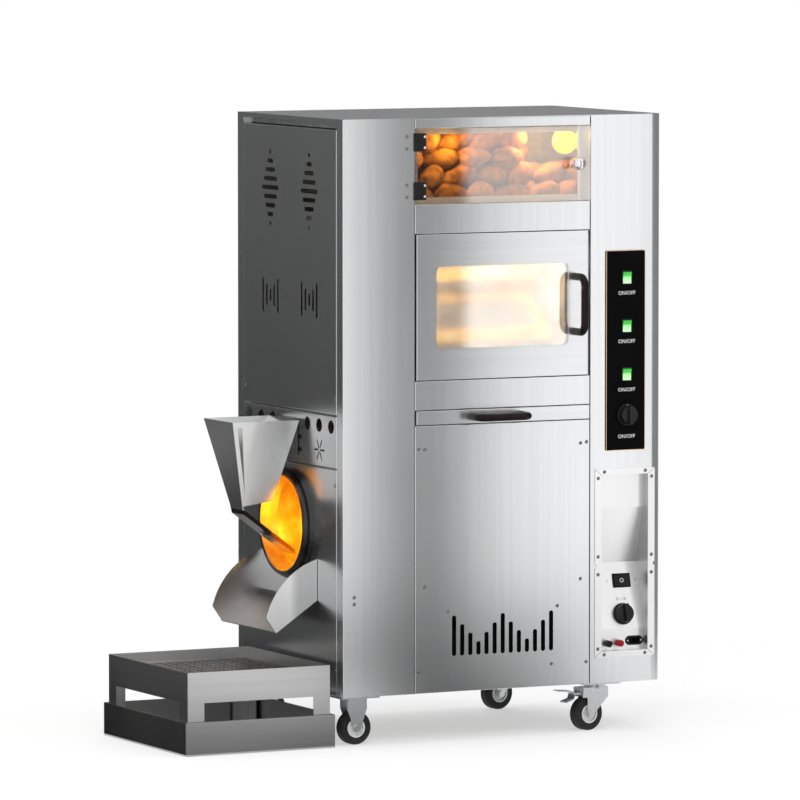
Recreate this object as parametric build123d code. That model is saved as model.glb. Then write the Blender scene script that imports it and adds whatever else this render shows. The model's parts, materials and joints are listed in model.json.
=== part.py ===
from build123d import *
import math
import os

# Street roasting machine on casters: a warming cabinet, a rotary oven, a crumb drawer and a gas-fired nut
# drum that is filled by a side hopper and emptied down a chute into a sieve box on the floor.
# Millimetres, +Z up, the front faces -Y. The pieces are drawn with x = 0 on the cabinet's left face, y = 0 on
# its front face and z = 0 on the floor, and are then moved to put the origin in the middle of the footprint.

# Cabinet bays and heights, from the floor up
LEFT_COLUMN_WIDTH = 176.0
MIDDLE_WIDTH = 441.0
RIGHT_COLUMN_WIDTH = 186.0
CABINET_DEPTH = 537.0
CASTER_HEIGHT = 110.0
LOWER_PANEL_HEIGHT = 595.0
DRAWER_FRONT_HEIGHT = 31.5
OVEN_RAIL_HEIGHT = 64.5
OVEN_DOOR_HEIGHT = 323.5
WARMER_RAIL_HEIGHT = 64.5
WARMER_DOOR_HEIGHT = 165.5
HEADER_HEIGHT = 22.5

# Sheet metal and frame
SHEET = 1.5
SEAM = 1.5
CORNER_BEND = 30.5
SIDE_RETURN = 31.0
FRAME_INSET = 10.0
TUBE = 20.0
TUBE_WALL = 1.5
LIP_DEPTH = 26.5
LIP_WIDTH = 20.0
COVER_FLANGE = 9.0
COVER_BAND = 15.0

# Running fits and small clearances
RUNNING_FIT = 0.08
HOLE_CLEARANCE = 0.2
LOOSE_FIT = 0.5

# Screws
SCREW_HEAD_RADIUS = 4.2
SCREW_HEAD_HEIGHT = 2.2
SCREW_RADIUS = 2.0
SCREW_LENGTH = 7.0

# Screw places: inset from the side of the sheet, and rise from or drop to its ends
LOW_PANEL_SCREWS = ((10.0, 50.0), (25.0, 238.0), (83.0, 180.0))
HIGH_PANEL_SCREWS = ((10.0, 50.0), (25.0, 52.0))
SINGLE_SCREW_INSET = 98.0
SINGLE_SCREW_RISE = 50.0
COLUMN_SCREW_INSET = 27.3
COLUMN_SCREW_RISES = (207.0, 222.0)
HINGE_SCREW_INSET = 19.0
HINGE_SCREW_SPREAD = 13.5
SIDE_SCREW_INSET = 6.5
UPPER_SIDE_SCREW_RISE = 36.5
UPPER_SIDE_SCREW_DROP = 60.0
LOWER_SIDE_SCREW_RISE = 56.0
LOWER_SIDE_SCREW_DROP = 34.0
RECESS_SCREW_INSET = 8.0
RECESS_SCREW_END = 20.0
RECESS_SCREW_SPREAD = 20.0
RECESS_CORNER_SCREW_INSET = 24.0
RECESS_CORNER_SCREW_END = 6.5

# Left side vents: the vent strip rises past the lower front panel's top, its pieces are measured up from its
# lower edge, and the diamonds and hourglasses are measured down from the cabinet's top
VENT_STRIP_RISE = 25.0
VENT_STRIP_HEIGHT = 115.0
SIDE_GAP = 3.5
VENT_OFFSET = 99.0
DIAMOND_DROP = 164.0
DIAMOND_LENGTHS = (10.0, 28.0, 47.0, 66.0, 85.0, 66.0, 47.0, 28.0, 10.0)
DIAMOND_PITCH = 20.0
DIAMOND_SLOT = 10.0
HOURGLASS_DROP = 405.0
HOURGLASS_LENGTHS = (78.0, 49.0, 28.0, 49.0, 78.0)
HOURGLASS_PITCH = 19.0
HOURGLASS_SLOT = 8.0
ROUND_VENT_RISE = 91.0
ROUND_VENT_RADIUS = 15.0
ROUND_VENT_OFFSETS = (89.0, 148.5, 208.5)
STAR_RISE = 36.0
STAR_OFFSET = 150.0
STAR_RAY = 22.0
STAR_SLOT = 4.0
HOOK_SLOT = 8.0
HOOK_SLOT_OFFSET = 47.0
HOOK_SLOT_RISES = (30.0, 59.0)
REAR_SLOT_LENGTH = 90.0
REAR_SLOT_WIDTH = 8.0
REAR_SLOT_PITCH = 22.0
REAR_SLOT_COUNT = 6
REAR_STACK_PITCH = 130.0

# Front vent, lengths of its slots from left to right
FRONT_SLOT_LENGTHS = (90.0, 70.0, 50.0, 30.0, 50.0, 70.0, 90.0, 70.0, 50.0, 30.0, 50.0, 70.0, 90.0)
FRONT_SLOT_PITCH = 20.3
FRONT_SLOT_WIDTH = 10.5
FRONT_SLOT_BOTTOM = 80.0

# Warming cabinet and its clear door
WARMER_DEPTH = 260.0
WARMER_SIDE_ROOM = 26.0
WARMER_SILL = 13.0
WARMER_GAP = 2.0
PANE = 5.0
WARMER_KNOB_INSET = 43.0
WARMER_KNOB_RADIUS = 15.0
WARMER_KNOB_REACH = 40.0
WARMER_KNOB_FOOT_RADIUS = 11.0
WARMER_KNOB_FOOT = 4.0
WARMER_KNOB_STEM_RADIUS = 6.5
LEAF_WIDTH = 26.5
LEAF_HEIGHT = 40.0
LEAF = 1.5
LEAF_INSET = 9.0
BARREL_RADIUS = 2.3
BARREL_PIN_RADIUS = 1.1
BARREL_GAP = 0.4

# Oven, its door and its rotary rack
OVEN_DEPTH = 450.0
OVEN_SIDE_MARGIN = 14.0
OVEN_FLOOR_DROP = 13.5
OVEN_CEILING_RISE = 12.0
DOORWAY_MARGIN = 29.0
DOORWAY_HEIGHT_MARGIN = 19.0
DOOR_GAP = 5.5
DOOR_DEPTH = 20.0
PIVOT_INSET = 9.0
PIVOT_RADIUS = 4.0
PIVOT_LENGTH = 20.0
PIVOT_HEAD_RADIUS = 7.0
PIVOT_HEAD = 2.0
WINDOW_HEIGHT = 182.5
WINDOW_CORNER = 12.0
WINDOW_RISE = 69.0
WINDOW_LEFT = 49.5
WINDOW_RIGHT = 50.5
GLASS = 4.0
GLASS_OVERLAP = 10.0
RACK_RADIUS = 105.0
RACK_ARM_WIDTH = 22.0
RACK_ARM = 4.0
RACK_END_GAP = 22.0
BASKET_PIN_RADIUS = 4.0
BASKET_PIN_LENGTH = 9.0
BASKET_WIDTH = 100.0
BASKET_HANG = 50.0
BASKET_WALL = 22.0
BASKET_END_GAP = 3.0
BASKET_EAR = 12.0
RACK_REST_ANGLE = 20.0
SHAFT_RADIUS = 10.0
BEARING_RADIUS = 18.0
BEARING_LENGTH = 12.0

# Handles
HANDLE_LENGTH = 140.0
HANDLE_REACH = 58.0
GRIP_RADIUS = 8.5
GRIP_BEND = 20.0
HANDLE_INSET = 35.5
HANDLE_RISE = 159.5
DRAWER_HANDLE_X = 204.0

# Crumb drawer
DRAWER_DEPTH = 400.0
DRAWER_CLEARANCE = 1.0
DRAWER_LEDGE = 18.0
DRAWER_WALL_DROP = 3.0

# Nut drum, its mouth and its drive; its axis lies below the vent strip
DRUM_DROP = 138.0
MOUTH_RADIUS = 107.0
DRUM_RADIUS = 148.0
DRUM_WALL = 2.0
MOUTH_REACH = 22.0
NECK_END = 20.0
CONE_LENGTH = 75.0
DRUM_END = 470.0
LIFTER_HEIGHT = 25.0
LIFTER_COUNT = 4
RIM_WALL = 7.5
RIM_TAIL = 8.0
COLLAR_WALL = 6.5
COLLAR_REACH = 10.0
COLLAR_SEAT = 4.5
STAND_WIDTH = 90.0
STAND_PLATE = 4.0
STAND_GAP = 30.0
STAND_HOLE_CLEARANCE = 2.0
GEARBOX = 70.0
GEARBOX_LENGTH = 40.0
GEARBOX_BORE_DEPTH = 30.0
MOTOR_RADIUS = 28.0
MOTOR_LENGTH = 70.0

# Gas burner and gas line
BURNER_HEIGHT = 110.0
BURNER_RADIUS = 16.0
BURNER_START = 110.0
BURNER_STAND_ROOM = 52.0
BURNER_FOOT = 20.0
BURNER_FOOT_WIDTH = 24.0
GAS_PIPE_RADIUS = 5.0
GAS_PIPE_BEND = 20.0
GAS_PIPE_INSET = 85.0
GAS_PIPE_TURN = 30.0
VALVE_WIDTH = 36.0
VALVE_DEPTH = 90.0
NIPPLE_RADIUS = 6.0
NIPPLE_REACH = 30.0
NIPPLE_NECK_RADIUS = 8.0
NIPPLE_NUT_RADIUS = 11.0
NIPPLE_NUT = 5.0
NIPPLE_FLANGE_RADIUS = 14.0
NIPPLE_FLANGE = 4.0

# Control panel on the right column; the switches and the panel's foot are measured from the ignition knob
PANEL_OFFSET = -5.2
PANEL_WIDTH = 99.5
PANEL_HEIGHT = 449.5
PANEL_FOOT = 80.1
PANEL_PLATE = 3.0
PANEL_CORNER = 4.0
SWITCH_RISE = 91.0
SWITCH_PITCH = 108.6
SWITCH_OFFSET = 2.6
BEZEL_SIDE = 2.75
BEZEL_END = 3.05
BEZEL = 2.5
BEZEL_EASE = 1.0
SWITCH_WALL = 0.8
SWITCH_DEPTH = 24.0
ROCKER_WIDTH = 20.0
ROCKER_HEIGHT = 25.4
ROCKER_CLEARANCE = 1.5
ROCKER_PIVOT_DEPTH = 3.0
ROCKER_TILT = 7.0
ROCKER_STAND = 1.0
ROCKER_DIP = 1.5
ROCKER_SIDE = 4.0
ROCKER_ROOT = 12.0
ROCKER_TAPER = 7.0
IGNITION_HEIGHT = 602.6
KNOB_RADIUS = 24.5
KNOB_SKIRT = 4.0
KNOB_STEP = 2.9
KNOB_TAPER = 2.0
KNOB_EASE = 1.6
KNOB_BODY = 14.0
KNOB_RIDGE = 8.0
KNOB_RIDGE_WIDTH = 10.0
KNOB_STEM_RADIUS = 3.0
KNOB_STEM = 12.0
KNOB_GAP = 0.5

# Service recess under the control panel
RECESS_MARGIN_LEFT = 11.5
RECESS_MARGIN_RIGHT = 22.5
RECESS_RIM = 17.0
RECESS_BOTTOM = 57.0
RECESS_HEIGHT = 424.7
RECESS_RIM_HEIGHT = 13.8
RECESS_DEPTH = 21.0
RECESS_V_DEPTH = 54.0
RECESS_V_TOP = 392.0
RECESS_V_MIDDLE = 265.0
RECESS_V_BOTTOM = 118.0
RECESS_NOTCH = 8.0
POWER_BEZEL_WIDTH = 45.0
POWER_BEZEL_HEIGHT = 32.0
POWER_SWITCH_INSET = 43.0
POWER_SWITCH_DROP = 41.0
SPEED_KNOB_INSET = 48.0
SPEED_KNOB_DROP = 115.0
POST_INSETS = (93.0, 64.0)
POST_HEIGHT = 86.0
POST_RADIUS = 7.5
POST_LENGTH = 17.0
POST_STUD_RADIUS = 3.0
POST_EASE = 1.5
INLET_INSET = 23.0
INLET_HEIGHT = 90.0
INLET_WIDTH = 44.0
INLET_FLANGE_HEIGHT = 21.0
INLET_FLANGE = 2.5
INLET_SOCKET_WIDTH = 24.0
INLET_SOCKET_HEIGHT = 12.0
INLET_SOCKET_DEPTH = 15.0
INLET_WALL = 1.5
INLET_EASE = 0.8
INLET_BLADE = 2.0
INLET_BLADE_HEIGHT = 4.8
SUPPLY_SIZE = (120.0, 50.0, 100.0)
SUPPLY_X = 20.0
SUPPLY_HEIGHT = 300.0

# Lamps
BULB_RADIUS = 28.0
BULB_NECK_RADIUS = 13.0
BULB_LENGTH = 58.0
LAMP_HOLDER_RADIUS = 17.0
LAMP_HOLDER_LENGTH = 26.0
WARMER_LAMP_Y = 40.0
WARMER_LAMP_DROP = 38.0
OVEN_LAMP_Y = 34.0
OVEN_LAMP_DROP = 34.0

# Feed hopper on the left side: its rim from the vent strip's lower edge, the rest from the drum's axis
HOPPER_RISE = 97.0
THROAT_ABOVE = 43.0
HOPPER_STANDOFF = 13.0
HOPPER_LENGTH = 164.0
HOPPER_WIDTH = 151.0
THROAT_RIGHT = 62.0
THROAT_LENGTH = 71.0
THROAT_WIDTH = 63.0
THROAT_RISE = 19.5
SLIDE_TOP_X = 129.0
SLIDE_TOP_ABOVE = 25.0
SLIDE_END_X = 2.0
SLIDE_END_BELOW = 69.5
SLIDE_LIP = 9.0
HOOK_WIDTH = 86.0
HOOK_DROP = 80.0
SLIT_TOP_WIDTH = 12.0
SLIT_INSET = 13.0
SLIT_DROP = 13.0
SLIT_LENGTH = 150.0

# Discharge chute on the left side, measured down from the drum's axis
CHUTE_WIDTH = 280.0
CHUTE_FLOOR_BELOW = 161.5
CHUTE_REACH = 102.0
CHUTE_DROP = 69.0
CHUTE_EDGE_OUT = 24.0
CHUTE_EDGE_UP = 35.5
CHUTE_TOP_BELOW = 70.0
CHUTE_BULGE_OUT = 88.0
CHUTE_BULGE_BELOW = 124.0
CHUTE_MOUTH_CLEARANCE = 2.5

# Sieve box that stands on the floor under the chute
TRAY_GAP = 14.5
TRAY_FRONT = 11.0
TRAY_LENGTH = 363.0
TRAY_WIDTH = 434.0
TRAY_HEIGHT = 74.0
SIEVE_CLEARANCE = 7.0
SIEVE_TOP = 183.0
SIEVE_BAND = 68.0
SIEVE_LEG = 40.0
SIEVE_FLOOR_GAP = 0.3
MESH_DROP = 26.0
MESH_PLATE = 2.0
MESH_PITCH = 21.0
MESH_BAR = 4.0
MESH_LEDGE = 8.0

# Casters: two rigid ones on the left, two swivel ones on the right
WHEEL_RADIUS = 37.5
WHEEL_WIDTH = 28.0
TYRE_INNER_RADIUS = 21.5
TYRE_SHOULDER = 4.0
HUB_RECESS = 4.0
HUB_RIM = 3.5
HUB_BOSS_RADIUS = 10.0
AXLE_RADIUS = 4.0
AXLE_HEAD_RADIUS = 7.5
AXLE_HEAD = 4.0
FORK_PLATE = 2.5
FORK_GAP = 2.5
FORK_EYE_RADIUS = 9.0
RIGID_FORK_HALF = 24.0
CASTER_PLATE_LENGTH = 92.0
CASTER_PLATE_WIDTH = 76.0
CASTER_PLATE = 5.0
RACE_RADIUS = 24.0
RACE_HEIGHT = 5.0
SWIVEL_GAP = 0.3
KINGPIN_RADIUS = 6.0
SWIVEL_TRAIL = 24.0
SWIVEL_TURN = 8.0
LEFT_CASTER_X = 50.0
RIGHT_CASTER_INSET = 147.0
CASTER_INSET = 50.0
PEDAL_PIVOT_BACK = 36.0
PEDAL_RISE = 9.0
PEDAL_PIN_RADIUS = 2.0
PEDAL_BOSS_RADIUS = 4.5
PEDAL_WIDTH = 26.0
PEDAL = 2.5
PEDAL_UPPER = ((63.0, 1.0), (71.0, 8.0), (105.0, 11.0))
PEDAL_LOWER = ((63.0, 1.0), (67.0, -10.0), (87.0, -16.0))

# Worked out levels and places in the cabinet
CABINET_WIDTH = LEFT_COLUMN_WIDTH + MIDDLE_WIDTH + RIGHT_COLUMN_WIDTH
MID_LEFT = LEFT_COLUMN_WIDTH
MID_RIGHT = LEFT_COLUMN_WIDTH + MIDDLE_WIDTH
MID_DEPTH = CABINET_DEPTH / 2
BOTTOM = CASTER_HEIGHT
LOWER_PANEL_TOP = BOTTOM + LOWER_PANEL_HEIGHT
DRAWER_BOTTOM = LOWER_PANEL_TOP + SEAM
DRAWER_TOP = DRAWER_BOTTOM + DRAWER_FRONT_HEIGHT
OVEN_RAIL_TOP = DRAWER_TOP + SEAM + OVEN_RAIL_HEIGHT
OVEN_DOOR_BOTTOM = OVEN_RAIL_TOP + SEAM
OVEN_DOOR_TOP = OVEN_DOOR_BOTTOM + OVEN_DOOR_HEIGHT
WARMER_RAIL_TOP = OVEN_DOOR_TOP + SEAM + WARMER_RAIL_HEIGHT
WARMER_DOOR_BOTTOM = WARMER_RAIL_TOP + SEAM
WARMER_DOOR_TOP = WARMER_DOOR_BOTTOM + WARMER_DOOR_HEIGHT
CABINET_TOP = WARMER_DOOR_TOP + SEAM + HEADER_HEIGHT
COVER_UNDER = CABINET_TOP - SHEET
RAIL_TOP = BOTTOM + TUBE
TOP_RAIL_UNDER = COVER_UNDER - TUBE
PANEL_TOP = COVER_UNDER - COVER_FLANGE - COVER_BAND + SHEET
PANEL_FRONT = SIDE_RETURN + SEAM
PANEL_BACK = CABINET_DEPTH - SIDE_RETURN - SEAM
LIP_BACK = LIP_DEPTH + SHEET
FRAME_LEFT = FRAME_INSET
FRAME_RIGHT = CABINET_WIDTH - FRAME_INSET
FRAME_FRONT = FRAME_INSET
FRAME_BACK = CABINET_DEPTH - FRAME_INSET
POST_FRONT = CORNER_BEND
POST_BACK = CABINET_DEPTH - CORNER_BEND
VENT_STRIP_TOP = LOWER_PANEL_TOP + VENT_STRIP_RISE
VENT_STRIP_BOTTOM = VENT_STRIP_TOP - VENT_STRIP_HEIGHT
UPPER_SEAM = VENT_STRIP_TOP + SIDE_GAP / 2
LOWER_SEAM = VENT_STRIP_BOTTOM - SIDE_GAP / 2
UPPER_SIDE_BOTTOM = VENT_STRIP_TOP + SIDE_GAP
LOWER_SIDE_TOP = VENT_STRIP_BOTTOM - SIDE_GAP
UPPER_SIDE_SCREWS = (UPPER_SIDE_BOTTOM + UPPER_SIDE_SCREW_RISE, PANEL_TOP - UPPER_SIDE_SCREW_DROP)
LOWER_SIDE_SCREWS = (BOTTOM + LOWER_SIDE_SCREW_RISE, LOWER_SIDE_TOP - LOWER_SIDE_SCREW_DROP)

OVEN_LEFT = MID_LEFT + OVEN_SIDE_MARGIN
OVEN_RIGHT = MID_RIGHT - OVEN_SIDE_MARGIN
OVEN_FLOOR = OVEN_DOOR_BOTTOM - OVEN_FLOOR_DROP
OVEN_CEILING = OVEN_DOOR_TOP + OVEN_CEILING_RISE
OVEN_BACK = LIP_BACK + OVEN_DEPTH
CROSS_UNDER = OVEN_FLOOR - TUBE
CROSS_FRONT = LIP_BACK + TUBE
CROSS_BACK = OVEN_BACK - 2 * TUBE
DOOR_LEFT = MID_LEFT + DOOR_GAP
DOOR_RIGHT = MID_RIGHT - DOOR_GAP
PIVOT_X = DOOR_LEFT + PIVOT_INSET
PIVOT_Y = PIVOT_INSET
WINDOW_WIDTH = DOOR_RIGHT - DOOR_LEFT - WINDOW_LEFT - WINDOW_RIGHT
WINDOW_X = DOOR_LEFT + WINDOW_LEFT + WINDOW_WIDTH / 2
WINDOW_Z = OVEN_DOOR_BOTTOM + WINDOW_RISE + WINDOW_HEIGHT / 2
RACK_Y = LIP_BACK + OVEN_DEPTH / 2
RACK_Z = WINDOW_Z
HANDLE_X = DOOR_RIGHT - HANDLE_INSET
HANDLE_Z = OVEN_DOOR_BOTTOM + HANDLE_RISE
WARMER_LEFT = MID_LEFT - WARMER_SIDE_ROOM
WARMER_RIGHT = MID_RIGHT + WARMER_SIDE_ROOM
WARMER_BACK = LIP_BACK + WARMER_DEPTH
BARREL_X = MID_LEFT + LEAF / 2
BARREL_Y = -BARREL_RADIUS - BARREL_GAP
DRAWER_PAN_LEFT = MID_LEFT + LIP_WIDTH + DRAWER_CLEARANCE + SHEET
DRAWER_PAN_RIGHT = MID_RIGHT - LIP_WIDTH - DRAWER_CLEARANCE - SHEET
LEDGE_TOP = DRAWER_BOTTOM + LOOSE_FIT
DRUM_Z = VENT_STRIP_BOTTOM - DRUM_DROP
NECK_RADIUS = MOUTH_RADIUS + DRUM_WALL
RIM_RADIUS = NECK_RADIUS + RIM_WALL
COLLAR_RADIUS = RIM_RADIUS + LOOSE_FIT + COLLAR_WALL
STAND_X = DRUM_END + DRUM_WALL + STAND_GAP
BURNER_END = STAND_X - BURNER_STAND_ROOM
BURNER_Z = BOTTOM + BURNER_HEIGHT
HOPPER_TOP = VENT_STRIP_BOTTOM + HOPPER_RISE
HOPPER_BOTTOM = DRUM_Z + THROAT_ABOVE
SLIDE_TOP = DRUM_Z + SLIDE_TOP_ABOVE
SLIDE_END = DRUM_Z - SLIDE_END_BELOW
CHUTE_FLOOR = DRUM_Z - CHUTE_FLOOR_BELOW
CHUTE_TOP = DRUM_Z - CHUTE_TOP_BELOW
PANEL_X = MID_RIGHT + RIGHT_COLUMN_WIDTH / 2 + PANEL_OFFSET
CONTROL_X = PANEL_X + SWITCH_OFFSET
IGNITION_Z = BOTTOM + IGNITION_HEIGHT
PANEL_BOTTOM = IGNITION_Z - PANEL_FOOT
ROTATION_Z = IGNITION_Z + SWITCH_RISE
OVEN_LAMP_SWITCH_Z = ROTATION_Z + SWITCH_PITCH
WARMER_LAMP_SWITCH_Z = OVEN_LAMP_SWITCH_Z + SWITCH_PITCH
SWITCH_LEVELS = (WARMER_LAMP_SWITCH_Z, OVEN_LAMP_SWITCH_Z, ROTATION_Z)
BEZEL_WIDTH = ROCKER_WIDTH + 2 * BEZEL_SIDE
BEZEL_HEIGHT = ROCKER_HEIGHT + 2 * BEZEL_END
POWER_ROCKER_WIDTH = POWER_BEZEL_HEIGHT - 2 * BEZEL_SIDE
POWER_ROCKER_HEIGHT = POWER_BEZEL_WIDTH - 2 * BEZEL_END
RECESS_LEFT = MID_RIGHT + RECESS_MARGIN_LEFT
RECESS_RIGHT = CABINET_WIDTH - RECESS_MARGIN_RIGHT
POCKET_LEFT = RECESS_LEFT + RECESS_RIM
POCKET_RIGHT = RECESS_RIGHT - RECESS_RIM
POCKET_BOTTOM = BOTTOM + RECESS_BOTTOM + RECESS_RIM_HEIGHT
POCKET_TOP = BOTTOM + RECESS_BOTTOM + RECESS_HEIGHT - RECESS_RIM_HEIGHT
POWER_X = POCKET_RIGHT - POWER_SWITCH_INSET
POWER_SWITCH_HEIGHT = RECESS_V_MIDDLE - POWER_SWITCH_DROP
SPEED_X = POCKET_RIGHT - SPEED_KNOB_INSET
SPEED_KNOB_HEIGHT = RECESS_V_MIDDLE - SPEED_KNOB_DROP
INLET_X = POCKET_RIGHT - INLET_INSET
INLET_Z = BOTTOM + INLET_HEIGHT
POST_XS = tuple(POCKET_RIGHT - inset for inset in POST_INSETS)
SLOPE_ANGLE = math.degrees(math.atan2(RECESS_V_DEPTH - RECESS_DEPTH, RECESS_V_MIDDLE - RECESS_V_BOTTOM))
TRAY_RIGHT = -TRAY_GAP
TRAY_LEFT = TRAY_RIGHT - TRAY_LENGTH
TRAY_BACK = TRAY_FRONT + TRAY_WIDTH
RIGHT_CASTER_X = CABINET_WIDTH - RIGHT_CASTER_INSET
CASTER_ROWS = {"front": CASTER_INSET, "rear": CABINET_DEPTH - CASTER_INSET}
CASTER_RAIL_OFFSET = CASTER_PLATE_LENGTH / 2 - TUBE / 2
PEDAL_PIVOT_HEIGHT = 2 * WHEEL_RADIUS + PEDAL_RISE
FORK_TOP = CASTER_HEIGHT - CASTER_PLATE - RACE_HEIGHT - SWIVEL_GAP
FORK_INNER = WHEEL_WIDTH / 2 + FORK_GAP
FORK_OUTER = FORK_INNER + FORK_PLATE

# Turned pieces are drawn upright on their seat
UPRIGHT = (Align.CENTER, Align.CENTER, Align.MIN)

# The origin: middle of the footprint, from sieve box to right side and from handles to gas nipple
ORIGIN_X = (TRAY_LEFT + CABINET_WIDTH) / 2
ORIGIN_Y = (CABINET_DEPTH + NIPPLE_REACH - HANDLE_REACH) / 2


def block(x, y, z):
    """Block between two limits along each axis."""
    size = (x[1] - x[0], y[1] - y[0], z[1] - z[0])
    return Pos(sum(x) / 2, sum(y) / 2, sum(z) / 2) * Box(*size)


def tube(x, y, z):
    """Square tube that fills the limits, hollow along its longest side."""
    limits = [x, y, z]
    spans = [high - low for low, high in limits]
    run = spans.index(max(spans))
    bore = [(low + TUBE_WALL, high - TUBE_WALL) for low, high in limits]
    bore[run] = limits[run]
    return block(*limits) - block(*bore)


def pan(x, y, z, open_side):
    """Folded sheet pan that fills the limits, open on one side, named like "+y", with bends opposite."""
    limits = {"x": list(x), "y": list(y), "z": list(z)}
    for axis, span in limits.items():
        if open_side != "-" + axis:
            span[0] += SHEET
        if open_side != "+" + axis:
            span[1] -= SHEET
    along = {"x": Axis.X, "y": Axis.Y, "z": Axis.Z}[open_side[1]]
    ends = block(x, y, z).faces().sort_by(along)
    closed = ends[0] if open_side[0] == "+" else ends[-1]
    return fillet(closed.edges(), SHEET) - block(*limits.values())


def eased(shape, radius):
    """The shape with the edges of its highest face rounded."""
    return fillet(shape.faces().sort_by(Axis.Z)[-1].edges(), radius)


def group(*shapes):
    """Several separate solids kept in one node."""
    return Compound([solid for shape in shapes for solid in shape.solids()])


def front(x, z, y=0.0):
    """Plane on the front, drawn as seen from the front, with its normal towards the viewer."""
    return Plane(origin=(x, y, z), x_dir=(1, 0, 0), z_dir=(0, -1, 0))


def left(y, z, x=0.0):
    """Plane on the left side, drawn as seen from the left, with its normal towards the viewer."""
    return Plane(origin=(x, y, z), x_dir=(0, -1, 0), z_dir=(-1, 0, 0))


def slope(x, height):
    """Plane on the lower sloped face of the service recess, with its normal towards the viewer."""
    tilt = math.radians(SLOPE_ANGLE)
    depth = RECESS_DEPTH + (height - RECESS_V_BOTTOM) * math.tan(tilt)
    normal = (0, -math.cos(tilt), math.sin(tilt))
    return Plane(origin=(x, depth, BOTTOM + height), x_dir=(1, 0, 0), z_dir=normal)


def punch(place, outline, depth=4 * SHEET):
    """Cutter for an opening, going in and out of the surface it is drawn on."""
    return extrude(place * outline, depth, both=True)


def rod(radius, start, end):
    """Round bar between two points."""
    along = Vector(*end) - Vector(*start)
    return extrude(Plane(origin=start, z_dir=along) * Circle(radius), along.length)


def slot(length, width):
    """Round-cornered slot."""
    return RectangleRounded(length, width, 0.45 * min(length, width))


# Screw places


def lower_panel_screws():
    """Screws of the lower front panel, in mirrored pairs and one more beside the vent."""
    pairs = [(inset, BOTTOM + rise) for inset, rise in LOW_PANEL_SCREWS]
    pairs += [(inset, LOWER_PANEL_TOP - drop) for inset, drop in HIGH_PANEL_SCREWS]
    places = [front(x, z) for inset, z in pairs for x in (MID_LEFT + inset, MID_RIGHT - inset)]
    return places + [front(MID_RIGHT - SINGLE_SCREW_INSET, BOTTOM + SINGLE_SCREW_RISE)]


def left_column_screws():
    """Screws of the left column: two low ones and two beside each warmer hinge."""
    low = [front(COLUMN_SCREW_INSET, BOTTOM + rise) for rise in COLUMN_SCREW_RISES]
    spread = (-HINGE_SCREW_SPREAD, HINGE_SCREW_SPREAD)
    return low + [front(MID_LEFT - HINGE_SCREW_INSET, z + rise) for z in hinge_levels() for rise in spread]


def left_panel_screws(levels):
    """Screws along the front and back edges of a left side panel."""
    edges = (PANEL_FRONT + SIDE_SCREW_INSET, PANEL_BACK - SIDE_SCREW_INSET)
    return [left(y, z) for y in edges for z in levels]


def recess_screws():
    """Screws of the service recess: along both sides of its flange, and near its upper and lower corners."""
    low, middle = BOTTOM + RECESS_BOTTOM, BOTTOM + RECESS_V_MIDDLE
    high = low + RECESS_HEIGHT
    side_levels = (low + RECESS_SCREW_END, middle - RECESS_SCREW_SPREAD, middle + RECESS_SCREW_SPREAD,
                   high - RECESS_SCREW_END)
    corner_levels = (low + RECESS_CORNER_SCREW_END, high - RECESS_CORNER_SCREW_END)
    places = []
    for inset, levels in ((RECESS_SCREW_INSET, side_levels), (RECESS_CORNER_SCREW_INSET, corner_levels)):
        places += [front(x, z, -SHEET) for x in (RECESS_LEFT + inset, RECESS_RIGHT - inset) for z in levels]
    return places


def screw():
    """Domed screw, drawn upright with its seat at z = 0."""
    dome_radius = (SCREW_HEAD_RADIUS ** 2 + SCREW_HEAD_HEIGHT ** 2) / (2 * SCREW_HEAD_HEIGHT)
    dome = Pos(0, 0, SCREW_HEAD_HEIGHT - dome_radius) * Sphere(dome_radius)
    head = dome & (Pos(0, 0, SCREW_HEAD_HEIGHT / 2) * Cylinder(2 * SCREW_HEAD_RADIUS, SCREW_HEAD_HEIGHT))
    return head + Pos(0, 0, -SCREW_LENGTH / 2) * Cylinder(SCREW_RADIUS, SCREW_LENGTH)


def screw_holes(places):
    """Cutters for the holes that screws pass through."""
    return [punch(place, Circle(SCREW_RADIUS + HOLE_CLEARANCE)) for place in places]


def panel_screws():
    places = lower_panel_screws() + left_column_screws() + recess_screws()
    places += left_panel_screws(UPPER_SIDE_SCREWS) + left_panel_screws(LOWER_SIDE_SCREWS)
    return group(*[place * screw() for place in places])


# Frame and cabinet sheets


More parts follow.
